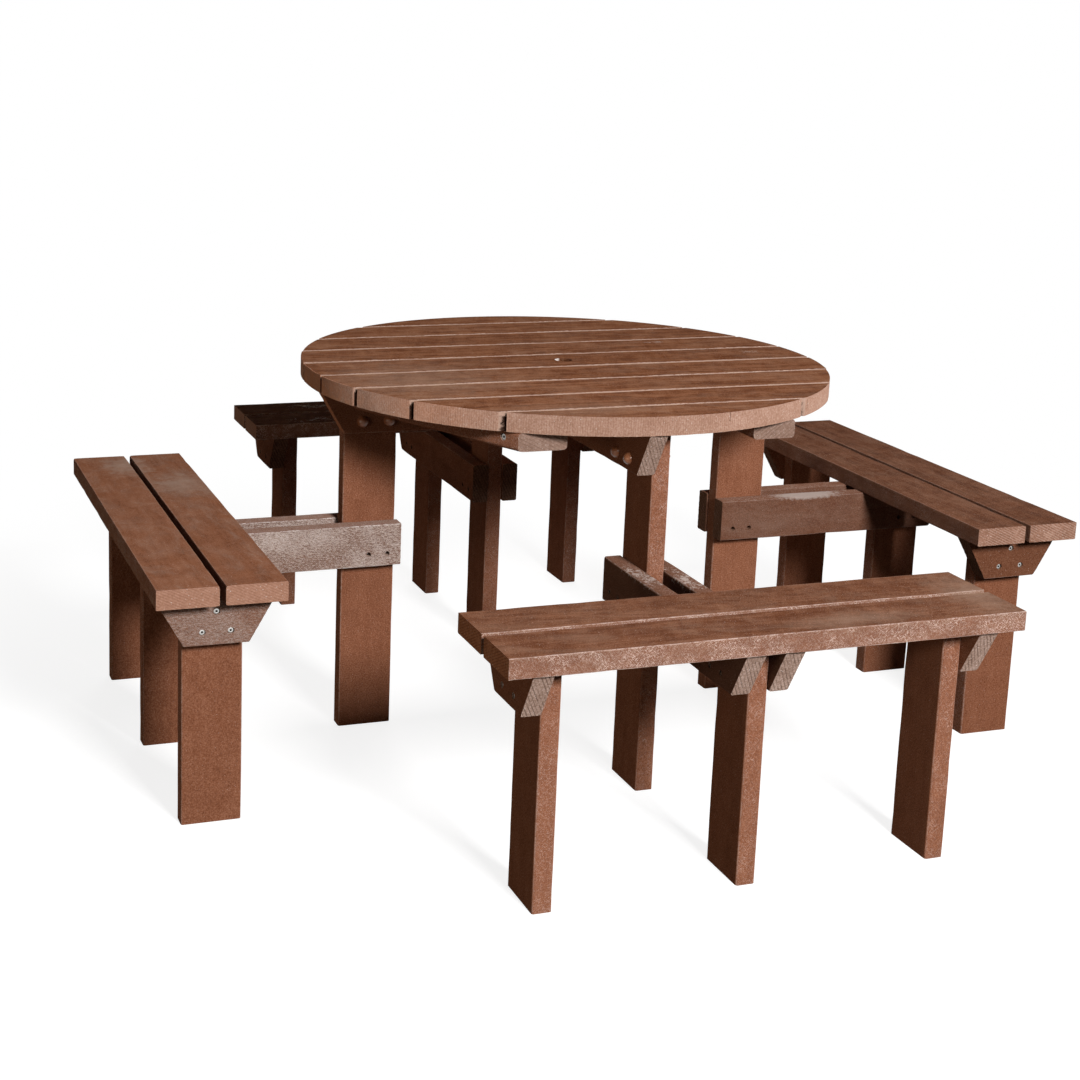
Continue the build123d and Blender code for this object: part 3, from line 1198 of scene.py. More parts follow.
@dataclass
class RoundedSlat(Plank):
    """A slat of the round top, its ends sawn to the circle."""

    radius: float = 0.53
    rim_segments: int = 288
    inset: float = 0.0  # how far this slat was sawn inside the circle
    ease: float = 0.0015  # how much narrower it is on each side
    rim_edge: float = 0.0009
    rim_play: float = 0.0002
    rim_band: float = 0.004  # how far in the sawn circle's faces reach
    corner: float = 0.003
    chord_margin: float = 0.005  # how far inside the circle a straight side lies at least
    long_edge: float = 0.05  # least length of a straight side's edges
    square: float = 0.95  # least cosine between a straight side's faces and its direction
    upright: float = 0.8  # cosine to the vertical past which a face counts as level
    pole_radius: float = 0.0
    pole_sides: int = 48
    pole_play: float = 0.02
    slits: Sequence[Slit] = ()

    def __post_init__(self) -> None:
        """Set this slat's own radius, a little inside the circle, its width and its straight sides."""
        super().__post_init__()
        self.own_radius = self.radius - self.inset
        self.low.y += self.ease
        self.high.y -= self.ease
        sides = ((self.low.y, -1), (self.high.y, 1))
        self.sides = [side for side in sides if abs(side[0]) < self.own_radius - self.chord_margin]

    def blank(self) -> BMesh:
        """Shape the slat: a piece of a disc, with its long edges rounded.

        Returns:
            The slat's mesh.
        """
        bm = bmesh.new()
        bmesh.ops.create_circle(bm, cap_ends=True, segments=self.rim_segments, radius=self.own_radius)
        for place, sign in self.sides:
            cut(bm, everything(bm), Axis.Y.vector * place, Axis.Y.vector * sign, clear=True)
        bmesh.ops.translate(bm, vec=Axis.Z.vector * self.low.z, verts=bm.verts)
        raised = bmesh.ops.extrude_face_region(bm, geom=bm.faces[:])["geom"]
        upper = [item for item in raised if isinstance(item, BMVert)]
        bmesh.ops.translate(bm, vec=Axis.Z.vector * (self.high.z - self.low.z), verts=upper)
        bmesh.ops.recalc_face_normals(bm, faces=bm.faces[:])
        roundings = ((self.is_corner, self.corner, 2), (self.is_long, self.arris, ARRIS_STEPS),
                     (self.is_rim, self.rim_edge, 1))
        for belongs, width, steps in roundings:
            bevel(bm, [edge for edge in bm.edges if belongs(edge)], width, steps)
        return bm

    def is_corner(self, edge: BMEdge) -> bool:
        """Find the edges that stand where a long side meets the sawn circle.

        Args:
            edge: the edge.

        Returns:
            Whether it is one of them.
        """
        near, far = (vertex.co for vertex in edge.verts)
        upright = (near.xy - far.xy).length < HAIR
        return upright and gap(near.y, self.low.y, self.high.y) < HAIR

    def is_long(self, edge: BMEdge) -> bool:
        """Whether an edge is one of the slat's straight long edges."""
        run = edge.verts[1].co - edge.verts[0].co
        return max(abs(run.y), abs(run.z)) < HAIR and abs(run.x) > self.long_edge

    def is_rim(self, edge: BMEdge) -> bool:
        """Find the upper and lower edges of the sawn circle.

        Args:
            edge: the edge.

        Returns:
            Whether it is one of them.
        """
        near, far = (vertex.co for vertex in edge.verts)
        outer = all(gap(point.xy.length, self.own_radius) < self.rim_play for point in (near, far))
        return outer and gap(near.z, far.z) < HAIR and gap(near.z, self.low.z, self.high.z) < HAIR

    def is_sawn(self, face: BMFace) -> bool:
        """Whether a face is part of the sawn circle."""
        outer = face.calc_center_median().xy.length > self.own_radius - self.rim_band
        return outer and abs(face.normal.z) < self.upright and not self.is_wall(face)

    def is_wall(self, face: BMFace) -> bool:
        """Whether a face is part of a straight side, which looks into a gap."""
        apart = gap(face.calc_center_median().y, *(place for place, _ in self.sides))
        return abs(face.normal.y) > self.square and apart < FACE_PLAY

    def finishes(self) -> list[Finish]:
        """The slat's finishes, with the painted shade of the parasol's hole and of the gaps."""
        return super().finishes() + [PAINTED_BORE, GAP_SHADE]

    def finish_index(self, face: BMFace) -> int:
        """Choose a face's finish.

        Args:
            face: the face.

        Returns:
            The finish's place among the slat's finishes.
        """
        middle = face.calc_center_median()
        if abs(face.normal.z) > self.upright or self.is_sawn(face):
            return super().finish_index(face)
        # The parasol's hole wall takes its painted shade and light.
        if middle.xy.length < self.pole_radius + FACE_PLAY:
            return Coat.PAINTED_BORE.value
        # Gap walls below the top edge take the gaps' painted shade.
        below = middle.z < self.high.z - self.arris
        return (Coat.GAP_SHADE if below and abs(face.normal.y) > self.square else Coat.FACE).value

    def cutters(self) -> BMesh:
        """Shape what is cut out of the slat: the parasol's hole and the slits.

        Returns:
            The forms in one mesh.
        """
        bm = bmesh.new()
        if self.pole_radius:
            below = Axis.Z.vector * (self.low.z - self.pole_play)
            above = Axis.Z.vector * (self.high.z + self.pole_play)
            frustum(bm, self.pole_radius, below, above, self.pole_sides)
        for slit in self.slits:
            slit.cutter(bm, self.own_radius)
        return bm


TOP_FACE = PlankFinish("tabletop_plastic", dark=(0.091, 0.0305, 0.0132), mid=(0.144, 0.0533, 0.0242),
                       pale=(0.205, 0.0895, 0.0466), powder=(0.28, 0.185, 0.135), fleck=(0.64, 0.48, 0.40),
                       contrast=0.95, streaks=0.62, chatter=0.14, dust=0.2, wear=0.9,
                       scuffs=(Scuff((-0.36, -0.14, 0.73), (0.24, 0.24, 0.02), 0.36, Rub.HAZE),
                               Scuff((-0.18, -0.45, 0.73), (0.28, 0.09, 0.02), 0.2, Rub.HAZE),
                               Scuff((0.279, 0.154, 0.73), (0.035, 0.012, 0.01), 0.45),
                               Scuff((0.429, 0.010, 0.73), (0.022, 0.012, 0.01), 0.5)))
# Painted shade: a dark finish on the gap walls between slats, lifted by pale smears at the two rim ends and
# along the top edge.
GAP_SHADE = replace(TOP_FACE, name="gap_painted_shade", dark=(0.020, 0.009, 0.006), mid=(0.034, 0.015, 0.009),
                pale=(0.055, 0.025, 0.015), haze=(0.43, 0.285, 0.22), dust=0.0, wear=0.0, side_tint=0.0,
                side_flecks=0.0, specks=0.1,
                scuffs=(Scuff((0.325, -0.43, 0.712), (0.05, 0.04, 0.06), 0.92, Rub.SMEAR),
                        Scuff((-0.316, -0.43, 0.712), (0.026, 0.03, 0.06), 0.9, Rub.SMEAR),
                        Scuff((0.0, 0.0, 0.73), (9.0, 9.0, 0.013), 0.9, Rub.SMEAR)))
# Painted shade and light in the parasol's hole: tones darker than the top face, and a pale patch painted at
# the hole's left for the bright floor seen through it.
PAINTED_BORE = replace(TOP_FACE, name="parasol_bore", dark=(0.075, 0.026, 0.012), mid=(0.12, 0.045, 0.021),
               pale=(0.17, 0.075, 0.04), haze=(0.60, 0.53, 0.49), dust=0.0, wear=0.0,
               scuffs=(Scuff((-0.0125, 0.012, 0.725), (0.0175, 0.018, 0.03), 0.95, Rub.SMEAR),))
SEAT_FACE = replace(TOP_FACE, name="seat_plastic", dark=(0.0765, 0.0257, 0.0115), mid=(0.121, 0.0448, 0.0218),
                    pale=(0.172, 0.0748, 0.041), fleck=(0.62, 0.49, 0.43), streaks=0.5, dust=0.2, wear=0.7,
                    arris=0.003, side_tint=0.38, side_flecks=0.7, fleck_cover=0.02,
                    scuffs=(Scuff((0.44, -0.81, 0.46), (0.10, 0.16, 0.02), 0.5, Rub.HAZE),
                            Scuff((0.16, -0.88, 0.46), (0.16, 0.05, 0.02), 0.35, Rub.HAZE),
                            Scuff((-0.283, 0.868, 0.46), (0.05, 0.02, 0.01), 1.0),
                            Scuff((-0.298, 0.725, 0.46), (0.05, 0.02, 0.01), 1.0)))
DUSTY_SEAT = replace(SEAT_FACE, name="dusty_seat_plastic", dark=(0.112, 0.0393, 0.0187),
                     mid=(0.169, 0.0646, 0.0323), pale=(0.232, 0.102, 0.058), powder=(0.286, 0.221, 0.179),
                     contrast=0.5, dust=0.22, wear=0.1, side_tint=0.2, side_flecks=0.25,
                     scuffs=(Scuff((-0.82, 0.38, 0.46), (0.07, 0.12, 0.02), 0.55, Rub.HAZE),
                             Scuff((-0.74, 0.20, 0.46), (0.10, 0.14, 0.02), 0.42, Rub.HAZE)))
DARK_SEAT = replace(SEAT_FACE, name="dark_seat_plastic", dark=(0.071, 0.0258, 0.0134),
                    mid=(0.1115, 0.0434, 0.0226), pale=(0.1595, 0.0708, 0.0412), dust=0.14, wear=0.08,
                    side_tint=0.2, side_flecks=0.15, scuffs=())
FRAME_FACE = PlankFinish("frame_plastic")
FRONT_RAIL = replace(FRAME_FACE, name="scuffed_rail_plastic", dark=(0.085, 0.036, 0.021),
                     mid=(0.128, 0.057, 0.035), pale=(0.180, 0.090, 0.060), side_tint=0.0, side_flecks=0.15,
                     scuffs=(Scuff((-0.035, -0.49, 0.425), (0.025, 0.06, 0.01), 0.75),
                             Scuff((0.035, -0.52, 0.425), (0.025, 0.06, 0.01), 0.8)))
DUSTY_RAIL = replace(FRAME_FACE, name="dusty_rail_plastic", dark=(0.090, 0.033, 0.0173),
                     mid=(0.134, 0.0515, 0.0275), pale=(0.186, 0.085, 0.051), dust=0.2, frost=0.06,
                     wide_flecks=0.12,
                     scuffs=(Scuff((0.56, -0.035, 0.425), (0.12, 0.04, 0.012), 0.75, Rub.SMEAR),))
DARK_CLEAT = replace(FRAME_FACE, name="dark_cleat_plastic", dark=(0.095, 0.034, 0.017),
                     mid=(0.132, 0.050, 0.026), pale=(0.175, 0.078, 0.045), wide_flecks=0.02)
FROSTED_RAIL = replace(FRAME_FACE, name="frosted_rail_plastic", haze=(0.56, 0.475, 0.43), frost=0.85,
                       frost_cover=0.022, fleck=(0.86, 0.79, 0.75), wear=1.0)
FROSTED_CLEAT = replace(FRAME_FACE, name="frosted_cleat_plastic", frost=0.72)
LEG_FACE = replace(FRAME_FACE, name="table_leg_plastic", dark=(0.145, 0.051, 0.025),
                   mid=(0.229, 0.087, 0.046), pale=(0.318, 0.142, 0.083))
SEAT_END = SawnFinish("seat_end_sawn", dark=(0.29, 0.149, 0.098), mid=(0.348, 0.185, 0.126),
                      pale=(0.41, 0.233, 0.168), groove=(0.22, 0.105, 0.067), line_strength=0.6)
ROUGH_END = replace(SEAT_END, name="rough_seat_end_sawn", dark=(0.19, 0.094, 0.061), mid=(0.25, 0.128, 0.085),
                    pale=(0.36, 0.212, 0.156), groove=(0.50, 0.37, 0.31), line_strength=0.45)
BROWN_END = replace(SEAT_END, name="brown_seat_end_sawn", dark=(0.26, 0.10, 0.048), mid=(0.36, 0.145, 0.073),
                    pale=(0.45, 0.20, 0.11), groove=(0.15, 0.055, 0.027))
FRAME_END = SawnFinish("frame_end_sawn", line_strength=0.75)
# A darker copy of the frame's sawn end: painted shade on ends that sit in shade.
SHADED_END = replace(FRAME_END, name="shaded_end_sawn", dark=(0.085, 0.040, 0.024), mid=(0.135, 0.068, 0.043),
                     pale=(0.19, 0.108, 0.074), groove=(0.05, 0.024, 0.015), specks=0.3)
RIM = SawnFinish("tabletop_rim_sawn", dark=(0.268, 0.147, 0.102), mid=(0.349, 0.206, 0.149),
                 pale=(0.434, 0.288, 0.226), groove=(0.22, 0.11, 0.071), lines=SawLines.UPRIGHT, pitch=0.0045,
                 line_strength=0.45,
                 # Two patches of painted light brighten the rim at the far left.
                 lit_patches=(Scuff((-0.46, -0.36, 0.71), (0.2, 0.2, 0.2), 0.25, Rub.HAZE),
                         Scuff((-0.56, -0.02, 0.71), (0.10, 0.36, 0.2), 0.8, Rub.HAZE)))
BATTEN_END = SawnFinish("batten_end_sawn", dark=(0.19, 0.115, 0.085), mid=(0.25, 0.158, 0.121),
                        pale=(0.31, 0.216, 0.175), groove=(0.13, 0.072, 0.052), line_strength=0.6)
SCREW_STEEL = MetalFinish("screw_steel_turned", bright=(0.68, 0.665, 0.64), dull=(0.44, 0.425, 0.40))
# Painted shade: a dark finish on the faces of the screws' driver recess.
SHADED_SOCKET = MetalFinish("screw_socket_dark", bright=(0.11, 0.10, 0.09), dull=(0.035, 0.032, 0.03),
                           roughness=0.6)
NUT_STEEL = MetalFinish("nut_steel_turned", bright=(0.50, 0.49, 0.47), dull=(0.28, 0.27, 0.26),
                        roughness=0.42)
BOLT_PAINT = MetalFinish("bolt_brown_paint", bright=(0.34, 0.13, 0.06), dull=(0.21, 0.078, 0.036),
                         metallic=0.0, roughness=0.24, specular=0.3)


@dataclass
class Tabletop:
    """The round top: nine slats side by side."""

    count_each_side: int = 4
    middle: str = "top_slat_middle"
    insets: tuple[float, ...] = (0.0025, 0.0005, 0.0018, 0.0, 0.001, 0.0005, 0.002, 0.0008, 0.0025)
    arris: float = 0.0035
    hole_radius: float = 0.0175
    tight_slats: tuple[str, ...] = ("top_slat_front_4",)
    tight_ease: float = 0.0002
    slits: dict[str, tuple[Slit, ...]] = field(default_factory=lambda: {
        "top_slat_front_4": (Slit(angle=-78.7, width=0.0012, depth=0.004, top=0.74, bottom=0.714),),
        "top_slat_front_3": (Slit(angle=-53.8, width=0.0016, depth=0.006, top=0.727, bottom=0.708,
                                  lean=12.0),),
    })
    number: int = 1

    def names(self) -> list[str]:
        """Name the slats' nodes.

        Returns:
            The names, from the front to the back.
        """
        steps = range(1, self.count_each_side + 1)
        front = [f"top_slat_front_{step}" for step in reversed(steps)]
        return front + [self.middle] + [f"top_slat_back_{step}" for step in steps]

    def build(self) -> None:
        """Make the slats."""
        for number, (name, inset) in enumerate(zip(self.names(), self.insets), self.number):
            slat = RoundedSlat(
                name, Axis.X, Axis.Y, TOP_FACE, RIM, number, arris=self.arris, inset=inset,
                ease=self.tight_ease if name in self.tight_slats else RoundedSlat.ease,
                pole_radius=self.hole_radius if name == self.middle else 0.0,
                slits=self.slits.get(name, ()),
            )
            slat.make()


@dataclass
class TableFrame:
    """What carries the top: four legs, two bearers that cross, four battens."""

    heads: Sequence[Fixing]
    number: int = 20
    rail_kerf: float = 0.006
    batten_arris: float = 0.007
    batten_lean: tuple[float, float] = (0.8, -0.6)

    def build(self) -> None:
        """Make the legs, the bearers and the battens."""
        numbers = itertools.count(self.number)
        for side in Side:
            Plank(f"table_leg_{side.word}", Axis.Z, side.reach, LEG_FACE, FRAME_END, next(numbers)).make()
        planks = [
            Plank(name, along, Axis.Z, FRAME_FACE, sawn, next(numbers), sloped=BOTH_ENDS,
                  kerf_pitch=self.rail_kerf)
            for name, along, sawn in (("bearer_left_right", Axis.X, BROWN_END),
                                      ("bearer_front_back", Axis.Y, FRAME_END))
        ]
        planks += [
            Plank(name, Axis.Y, Axis.X, FRAME_FACE, BATTEN_END, next(numbers), arris=self.batten_arris,
                  kerf_pitch=self.rail_kerf, kerf_lean=self.batten_lean)
            for name in ("batten_front_right", "batten_back_left")
        ]
        planks += [
            AskewBatten(name, Axis.Y, Axis.X, FRAME_FACE, BATTEN_END, next(numbers), arris=self.batten_arris,
                        kerf_pitch=self.rail_kerf)
            for name in ("batten_front_left", "batten_back_right")
        ]
        for plank in planks:
            plank.with_holes(self.heads).make()


@dataclass
class Bench:
    """One bench: two seat slats, three legs, two end cleats, and the rails that tie it to the table."""

    side: Side
    heads: Sequence[Fixing]
    cleats: tuple[PlankFinish, PlankFinish] = (FRAME_FACE, FRAME_FACE)
    rails: tuple[PlankFinish, PlankFinish] = (FRAME_FACE, FRAME_FACE)
    seat: PlankFinish = SEAT_FACE
    seat_end: SawnFinish = SEAT_END
    frame_end: SawnFinish = FRAME_END
    number: int = 40
    number_step: int = 10
    end_kerf: float = 0.006
    seat_kerf: float = 0.0045
    seat_kerf_depth: float = 0.00015
    seat_arris: float = 0.002

    def build(self) -> None:
        """Make the bench's planks."""
        word = self.side.word
        run, reach = self.side.run, self.side.reach
        numbers = itertools.count(self.number + self.number_step * self.side.value)
        planks = [
            Plank(f"{word}_seat_slat_{place}", run, reach, self.seat, self.seat_end, next(numbers),
                  arris=self.seat_arris, kerf_pitch=self.seat_kerf, kerf_depth=self.seat_kerf_depth)
            for place in ("inner", "outer")
        ]
        planks += [
            Plank(f"{word}_bench_leg_{step}", Axis.Z, reach, FRAME_FACE, self.frame_end, next(numbers))
            for step in (1, 2, 3)
        ]
        cleats, rails = (
            [
                Plank(f"{word}_{kind}_{step}", reach, Axis.Z, face, self.frame_end, next(numbers),
                      sloped=sloped, kerf_pitch=self.end_kerf)
                for step, face in enumerate(faces, 1)
            ]
            for kind, faces, sloped in (("bench_cleat", self.cleats, BOTH_ENDS),
                                        ("seat_rail", self.rails, (self.side.outward,)))
        )
        for pair in zip(cleats, rails):
            planks += pair
        for plank in planks:
            plank.with_holes(self.heads).make()


@dataclass
class Fasteners:
    """Screws, coach bolts and nuts, each kind one piece in place of its node."""

    shank_radius: float = 0.003
    shank_heads: float = 2.5  # depth of the shank's end, in head heights
    socket_share: float = 0.4  # of the head's radius
    socket_depth: float = 0.7  # of the head's height
    lobes: int = 6
    lobe_share: float = 0.14  # of the socket's radius
    bolt_radius: float = 0.004
    bolt_head: tuple[float, float] = (0.0115, 0.0105)  # radius and rise of the dome
    bolt_stand: float = 0.008  # how far the CAD's head stands off the plank
    bolt_sink: float = 0.0004
    bolt_tip: tuple[float, float] = (0.75, 0.0012)  # share of the radius, and length of the taper
    dome_steps: int = 7
    bolt_sides: int = 28
    nut_flats: float = 0.013
    nut_height: float = 0.008
    nut_ease: float = 0.0007
    flange: tuple[float, float] = (0.009, 0.0016)  # radius and thickness
    flange_sides: int = 24
    fine_sides: int = 18
    plain_sides: int = 10

    def build(self) -> None:
        """Make each kind of fastener."""
        kinds = (("cleat_screws", self.fine_sides, SCREW_STEEL),
                 ("rail_screws", self.plain_sides, SCREW_STEEL),
                 ("slat_screws", self.plain_sides, NUT_STEEL))
        for node, sides, head in kinds:
            screws = [self.screw(fixing, sides) for fixing in fixings(node)]
            self.group(node, screws, (head, SHADED_SOCKET), Slot.SCREW)
        bolts = [self.bolt(fixing) for fixing in fixings("coach_bolts")]
        self.group("coach_bolts", bolts, (BOLT_PAINT,), Slot.BOLT)
        nuts = [self.nut(fixing) for fixing in fixings("flange_nuts", flat=True)]
        self.group("flange_nuts", nuts, (NUT_STEEL,), Slot.NUT)

    def lathe(self, profile: Sequence[tuple[float, float]], sides: int) -> BMesh:
        """Turn a profile about Z.

        Args:
            profile: radius and height of each point, from axis to axis.
            sides: sides of the turned form.

        Returns:
            The closed form.
        """
        bm = bmesh.new()
        verts = [bm.verts.new((radius, 0.0, height)) for radius, height in profile]
        edges = [bm.edges.new(pair) for pair in zip(verts, verts[1:])]
        bmesh.ops.spin(bm, geom=verts + edges, cent=(0, 0, 0), axis=(0, 0, 1), dvec=(0, 0, 0),
                       angle=2 * math.pi, steps=sides, use_merge=True, use_duplicate=False)
        bmesh.ops.remove_doubles(bm, verts=bm.verts[:], dist=HAIR)
        bmesh.ops.recalc_face_normals(bm, faces=bm.faces[:])
        return bm

    def set_down(self, bm: BMesh, fixing: Fixing) -> BMesh:
        """Move a turned form to its place.

        Args:
            bm: the form, with its top at the origin and its axis on Z.
            fixing: where it goes.

        Returns:
            The same mesh.
        """
        stance = Matrix.Translation(fixing.top) @ fixing.outward.to_track_quat("Z", "Y").to_matrix().to_4x4()
        bmesh.ops.transform(bm, matrix=stance, verts=bm.verts[:])
        return bm

    def screw(self, fixing: Fixing, sides: int) -> BMesh:
        """A screw head with a driver recess, and the top of its shank.

        Args:
            fixing: where it goes.
            sides: sides of the head.

        Returns:
            The screw.
        """
        rim = fixing.radius
        socket = self.socket_share * rim
        head = -HEAD_HEIGHT
        floor = self.socket_depth * head
        shank = self.shank_heads * head
        profile = [(0.0, floor), (0.85 * socket, floor), (socket, -0.0003), (0.64 * rim, 0.0),
                   (0.9 * rim, -0.0004), (rim, -0.0013), (rim, head), (self.shank_radius, head),
                   (self.shank_radius, shank), (0.0, shank)]
        bm = self.lathe(profile, sides)
        for vertex in bm.verts:
            if vertex.co.z > 0.8 * head and vertex.co.xy.length < 1.02 * socket:
                angle = math.atan2(vertex.co.y, vertex.co.x)
                vertex.co.xy *= 1.0 + self.lobe_share * math.cos(self.lobes * angle)
        for face in bm.faces:
            middle = face.calc_center_median()
            # Faces inside the driver recess take the socket's painted shade.
            face.material_index = int(0.8 * head < middle.z < -0.0002 and middle.xy.length < 1.05 * socket)
        return self.set_down(bm, fixing)

    def bolt(self, fixing: Fixing) -> BMesh:
        """A domed coach bolt.

        Args:
            fixing: where it goes.

        Returns:
            The bolt.
        """
        rim, rise = self.bolt_head
        dome = (rim**2 + rise**2) / (2 * rise)
        last = math.asin(rim / dome)
        angles = [last * step / self.dome_steps for step in range(self.dome_steps + 1)]
        crown = rise - self.bolt_stand
        seat = -self.bolt_stand - self.bolt_sink
        radius, end = self.bolt_radius, -fixing.length
        share, taper = self.bolt_tip
        profile = [(dome * math.sin(angle), crown + dome * (math.cos(angle) - 1)) for angle in angles]
        profile[0] = (0.0, crown)
        profile += [(0.97 * rim, seat), (radius, seat), (radius, end + taper)]
        profile += [(share * radius, end), (0.0, end)]
        return self.set_down(self.lathe(profile, self.bolt_sides), fixing)

    def nut(self, fixing: Fixing) -> BMesh:
        """A hexagon nut on its flange.

        Args:
            fixing: where it goes.

        Returns:
            The nut.
        """
        rim, thin = self.flange
        tall = self.nut_height
        corner = self.nut_flats / 2 / math.cos(math.radians(30))
        inner = -0.55 * tall
        skirt = [(0.0, inner), (0.9 * corner, inner), (rim, thin - tall), (rim, -tall), (0.0, -tall)]
        bm = self.lathe(skirt, self.flange_sides)
        frustum(bm, corner, Axis.Z.vector * (-0.95 * tall), Vector(), segments=6)
        crown = [edge for edge in bm.edges if all(vertex.co.z > -HAIR for vertex in edge.verts)]
        bevel(bm, crown, self.nut_ease, 2)
        return self.set_down(bm, fixing)

    def group(self, node: str, parts: Sequence[BMesh], finishes: Sequence[Finish],
              slot: Slot) -> None:
        """Join parts into one piece in place of a node.

        Args:
            node: the CAD node.
            parts: the meshes, which are freed.
            finishes: their finishes, by material index.
            slot: handed on, not used.
        """
        whole = bmesh.new()
        for part in parts:
            loose = bpy.data.meshes.new("loose")
            part.to_mesh(loose)
            part.free()
            whole.from_mesh(loose)
            bpy.data.meshes.remove(loose)
        crease(whole)
        made = add_object(f"{node}_turned", whole)
        for finish in finishes:
            made.data.materials.append(finish.material())
        hand_over(made, node, slot)


@dataclass(frozen=True)
class Lamp:
    """A softbox; mirrored says whether shiny surfaces show it."""

    name: str
    place: Triple
    size: tuple[float, float]
    power: float
    mirrored: bool = True
    tint: Colour = WHITE

    def hang(self, target: Triple) -> None:
        """Hang the lamp so that it points at the table.

        Args:
            target: the point that it faces.
        """
        data = bpy.data.lights.new(self.name, "AREA")
        data.shape = "RECTANGLE"
        data.size, data.size_y = self.size
        data.energy = self.power
        data.color = self.tint
        made = bpy.data.objects.new(self.name, data)
        aim = Vector(target) - Vector(self.place)
        made.matrix_world = Matrix.Translation(self.place) @ aim.to_track_quat("-Z", "Y").to_matrix().to_4x4()
        made.visible_glossy = self.mirrored
        made.visible_camera = False
        bpy.context.scene.collection.objects.link(made)


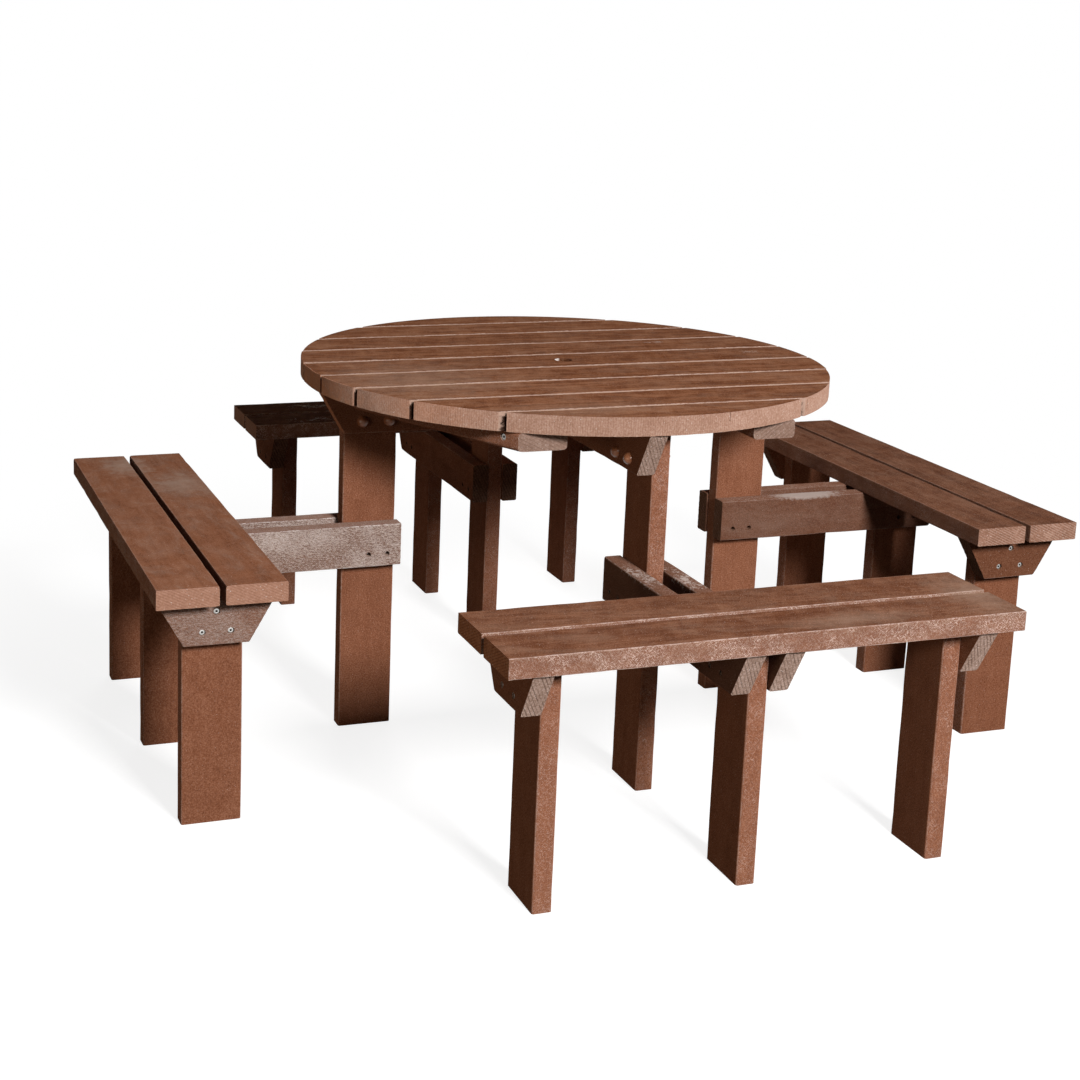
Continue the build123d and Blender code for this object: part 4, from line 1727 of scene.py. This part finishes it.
@dataclass
class Studio:
    """Floor, light and camera."""

    floor_size: float = 60.0
    lens: float = 61.787
    sensor: float = 36.0
    shift: tuple[float, float] = (0.10, -0.15)
    camera_place: Triple = (-1.4685, -3.3865, 1.4259)
    yaw: float = 19.336
    pitch: float = 11.386
    roll: float = 1.711
    ambient: float = 0.028
    ambient_tint: Colour = (1.0, 0.985, 0.96)
    floor_shade: Colour = (0.12, 0.115, 0.11)
    floor_glow: float = 0.84
    floor_catch: float = 0.34
    target: Triple = (0.0, 0.0, 0.45)
    shade_reach: tuple[float, float, float, float] = (0.9, 2.4, 1.0, 0.0)  # full to here, none from there
    lamps: tuple[Lamp, ...] = (
        Lamp("front_softbox", (0.3, -4.65, 2.65), (1.1, 0.85), 340.0),
        Lamp("left_fill", (-4.8, -2.8, 0.9), (1.4, 1.4), 34.0, tint=(1.0, 0.86, 0.66)),
        Lamp("rear_fill", (1.6, 4.4, 1.3), (2.4, 1.2), 70.0, mirrored=False),
        Lamp("back_strip", (0.2, 4.6, 0.25), (3.2, 0.45), 150.0, mirrored=False),
        Lamp("right_strip", (4.6, 1.7, 0.25), (3.2, 0.45), 120.0, mirrored=False),
    )

    def build(self) -> None:
        """Set up the whole studio."""
        bpy.context.scene.view_settings.view_transform = "Standard"
        self.lay_floor()
        self.light_world()
        for lamp in self.lamps:
            lamp.hang(self.target)
        self.stand_camera()

    def bare_graph(self, owner: Union[Material, World]) -> Graph:
        """An emptied node tree.

        Args:
            owner: the material or world that it belongs to.

        Returns:
            The tree.
        """
        owner.use_nodes = True
        owner.node_tree.nodes.clear()
        return Graph(owner.node_tree)

    def seen_rays(self, graph: Graph) -> Socket:
        """One for rays that show the background, straight, in shine or through glass.

        Args:
            graph: the node tree that asks.

        Returns:
            The socket with the share.
        """
        path = graph.node("LightPath", {}).outputs
        share = path["Is Camera Ray"]
        for name in ("Is Glossy Ray", "Is Transmission Ray"):
            share = graph.math("MAXIMUM", share, path[name])
        return share

    def lay_floor(self) -> None:
        """A plain floor that looks white and keeps the table's shadow."""
        bm = bmesh.new()
        bmesh.ops.create_grid(bm, x_segments=1, y_segments=1, size=self.floor_size / 2)
        floor = add_object("studio_floor", bm)
        material = bpy.data.materials.new("studio_floor_white")
        graph = self.bare_graph(material)
        far = graph.output("Emission", {})
        glow = graph.output("Emission", {"Strength": self.floor_glow})
        catch = graph.output("BsdfDiffuse", {"Color": (self.floor_catch,) * 3})
        shade = graph.output("BsdfDiffuse", {"Color": self.floor_shade})
        near = graph.output("AddShader", {0: glow, 1: catch})
        seen = graph.output("MixShader", {0: self.near_table(graph), 1: far, 2: near})
        outer = graph.output("MixShader", {0: self.seen_rays(graph), 1: shade, 2: seen})
        graph.node("OutputMaterial", {0: outer})
        floor.data.materials.append(material)

    def near_table(self, graph: Graph) -> Socket:
        """Share of the floor that shows shade, most under the table and none far off."""
        return graph.fade(graph.length(graph.place()), *self.shade_reach)

    def light_world(self) -> None:
        """A white surround, with a low even light on the table."""
        world = bpy.data.worlds.new("studio_surround")
        bpy.context.scene.world = world
        graph = self.bare_graph(world)
        soft = graph.output("Background", {"Strength": self.ambient, "Color": self.ambient_tint})
        white = graph.output("Background", {"Color": WHITE})
        mixed = graph.output("MixShader", {0: self.seen_rays(graph), 1: soft, 2: white})
        graph.node("OutputWorld", {0: mixed})

    def stand_camera(self) -> None:
        """Place the camera at the photograph's viewing angle."""
        data = bpy.data.cameras.new("studio_camera")
        data.sensor_width = self.sensor
        data.lens = self.lens
        data.shift_x, data.shift_y = self.shift
        made = bpy.data.objects.new("studio_camera", data)
        turns = ((-self.yaw, "Z"), (90.0 - self.pitch, "X"), (self.roll, "Z"))
        stance = Matrix.Translation(self.camera_place)
        for angle, axis in turns:
            stance = stance @ Matrix.Rotation(math.radians(angle), 4, axis)
        made.matrix_world = stance
        bpy.context.scene.collection.objects.link(made)
        bpy.context.scene.camera = made


# Each bench's finishes: real wear, dust and frost, and the painted shade of some sawn ends.
BENCH_WEAR_AND_SHADE = {
    Side.FRONT: {"rails": (FRONT_RAIL, FRONT_RAIL), "seat_end": BROWN_END},
    Side.LEFT: {
        "cleats": (FRAME_FACE, FROSTED_CLEAT),
        "rails": (FROSTED_RAIL, FROSTED_RAIL),
        "seat": DUSTY_SEAT,
    },
    Side.RIGHT: {
        "cleats": (DARK_CLEAT, FRAME_FACE),
        "rails": (DUSTY_RAIL, DUSTY_RAIL),
        "seat": DARK_SEAT,
        "seat_end": ROUGH_END,
        "frame_end": SHADED_END,
    },
    Side.BACK: {"frame_end": SHADED_END},
}


def main() -> None:
    """Build the table, the benches and the studio."""
    logging.basicConfig(level=logging.INFO, format="%(name)s: %(message)s")
    heads = [fixing for node in DRIVEN for fixing in fixings(node)]
    Tabletop().build()
    TableFrame(heads).build()
    for side in Side:
        Bench(side, heads, **BENCH_WEAR_AND_SHADE.get(side, {})).build()
    Fasteners().build()
    Studio().build()


if __name__ == "__main__":
    main()
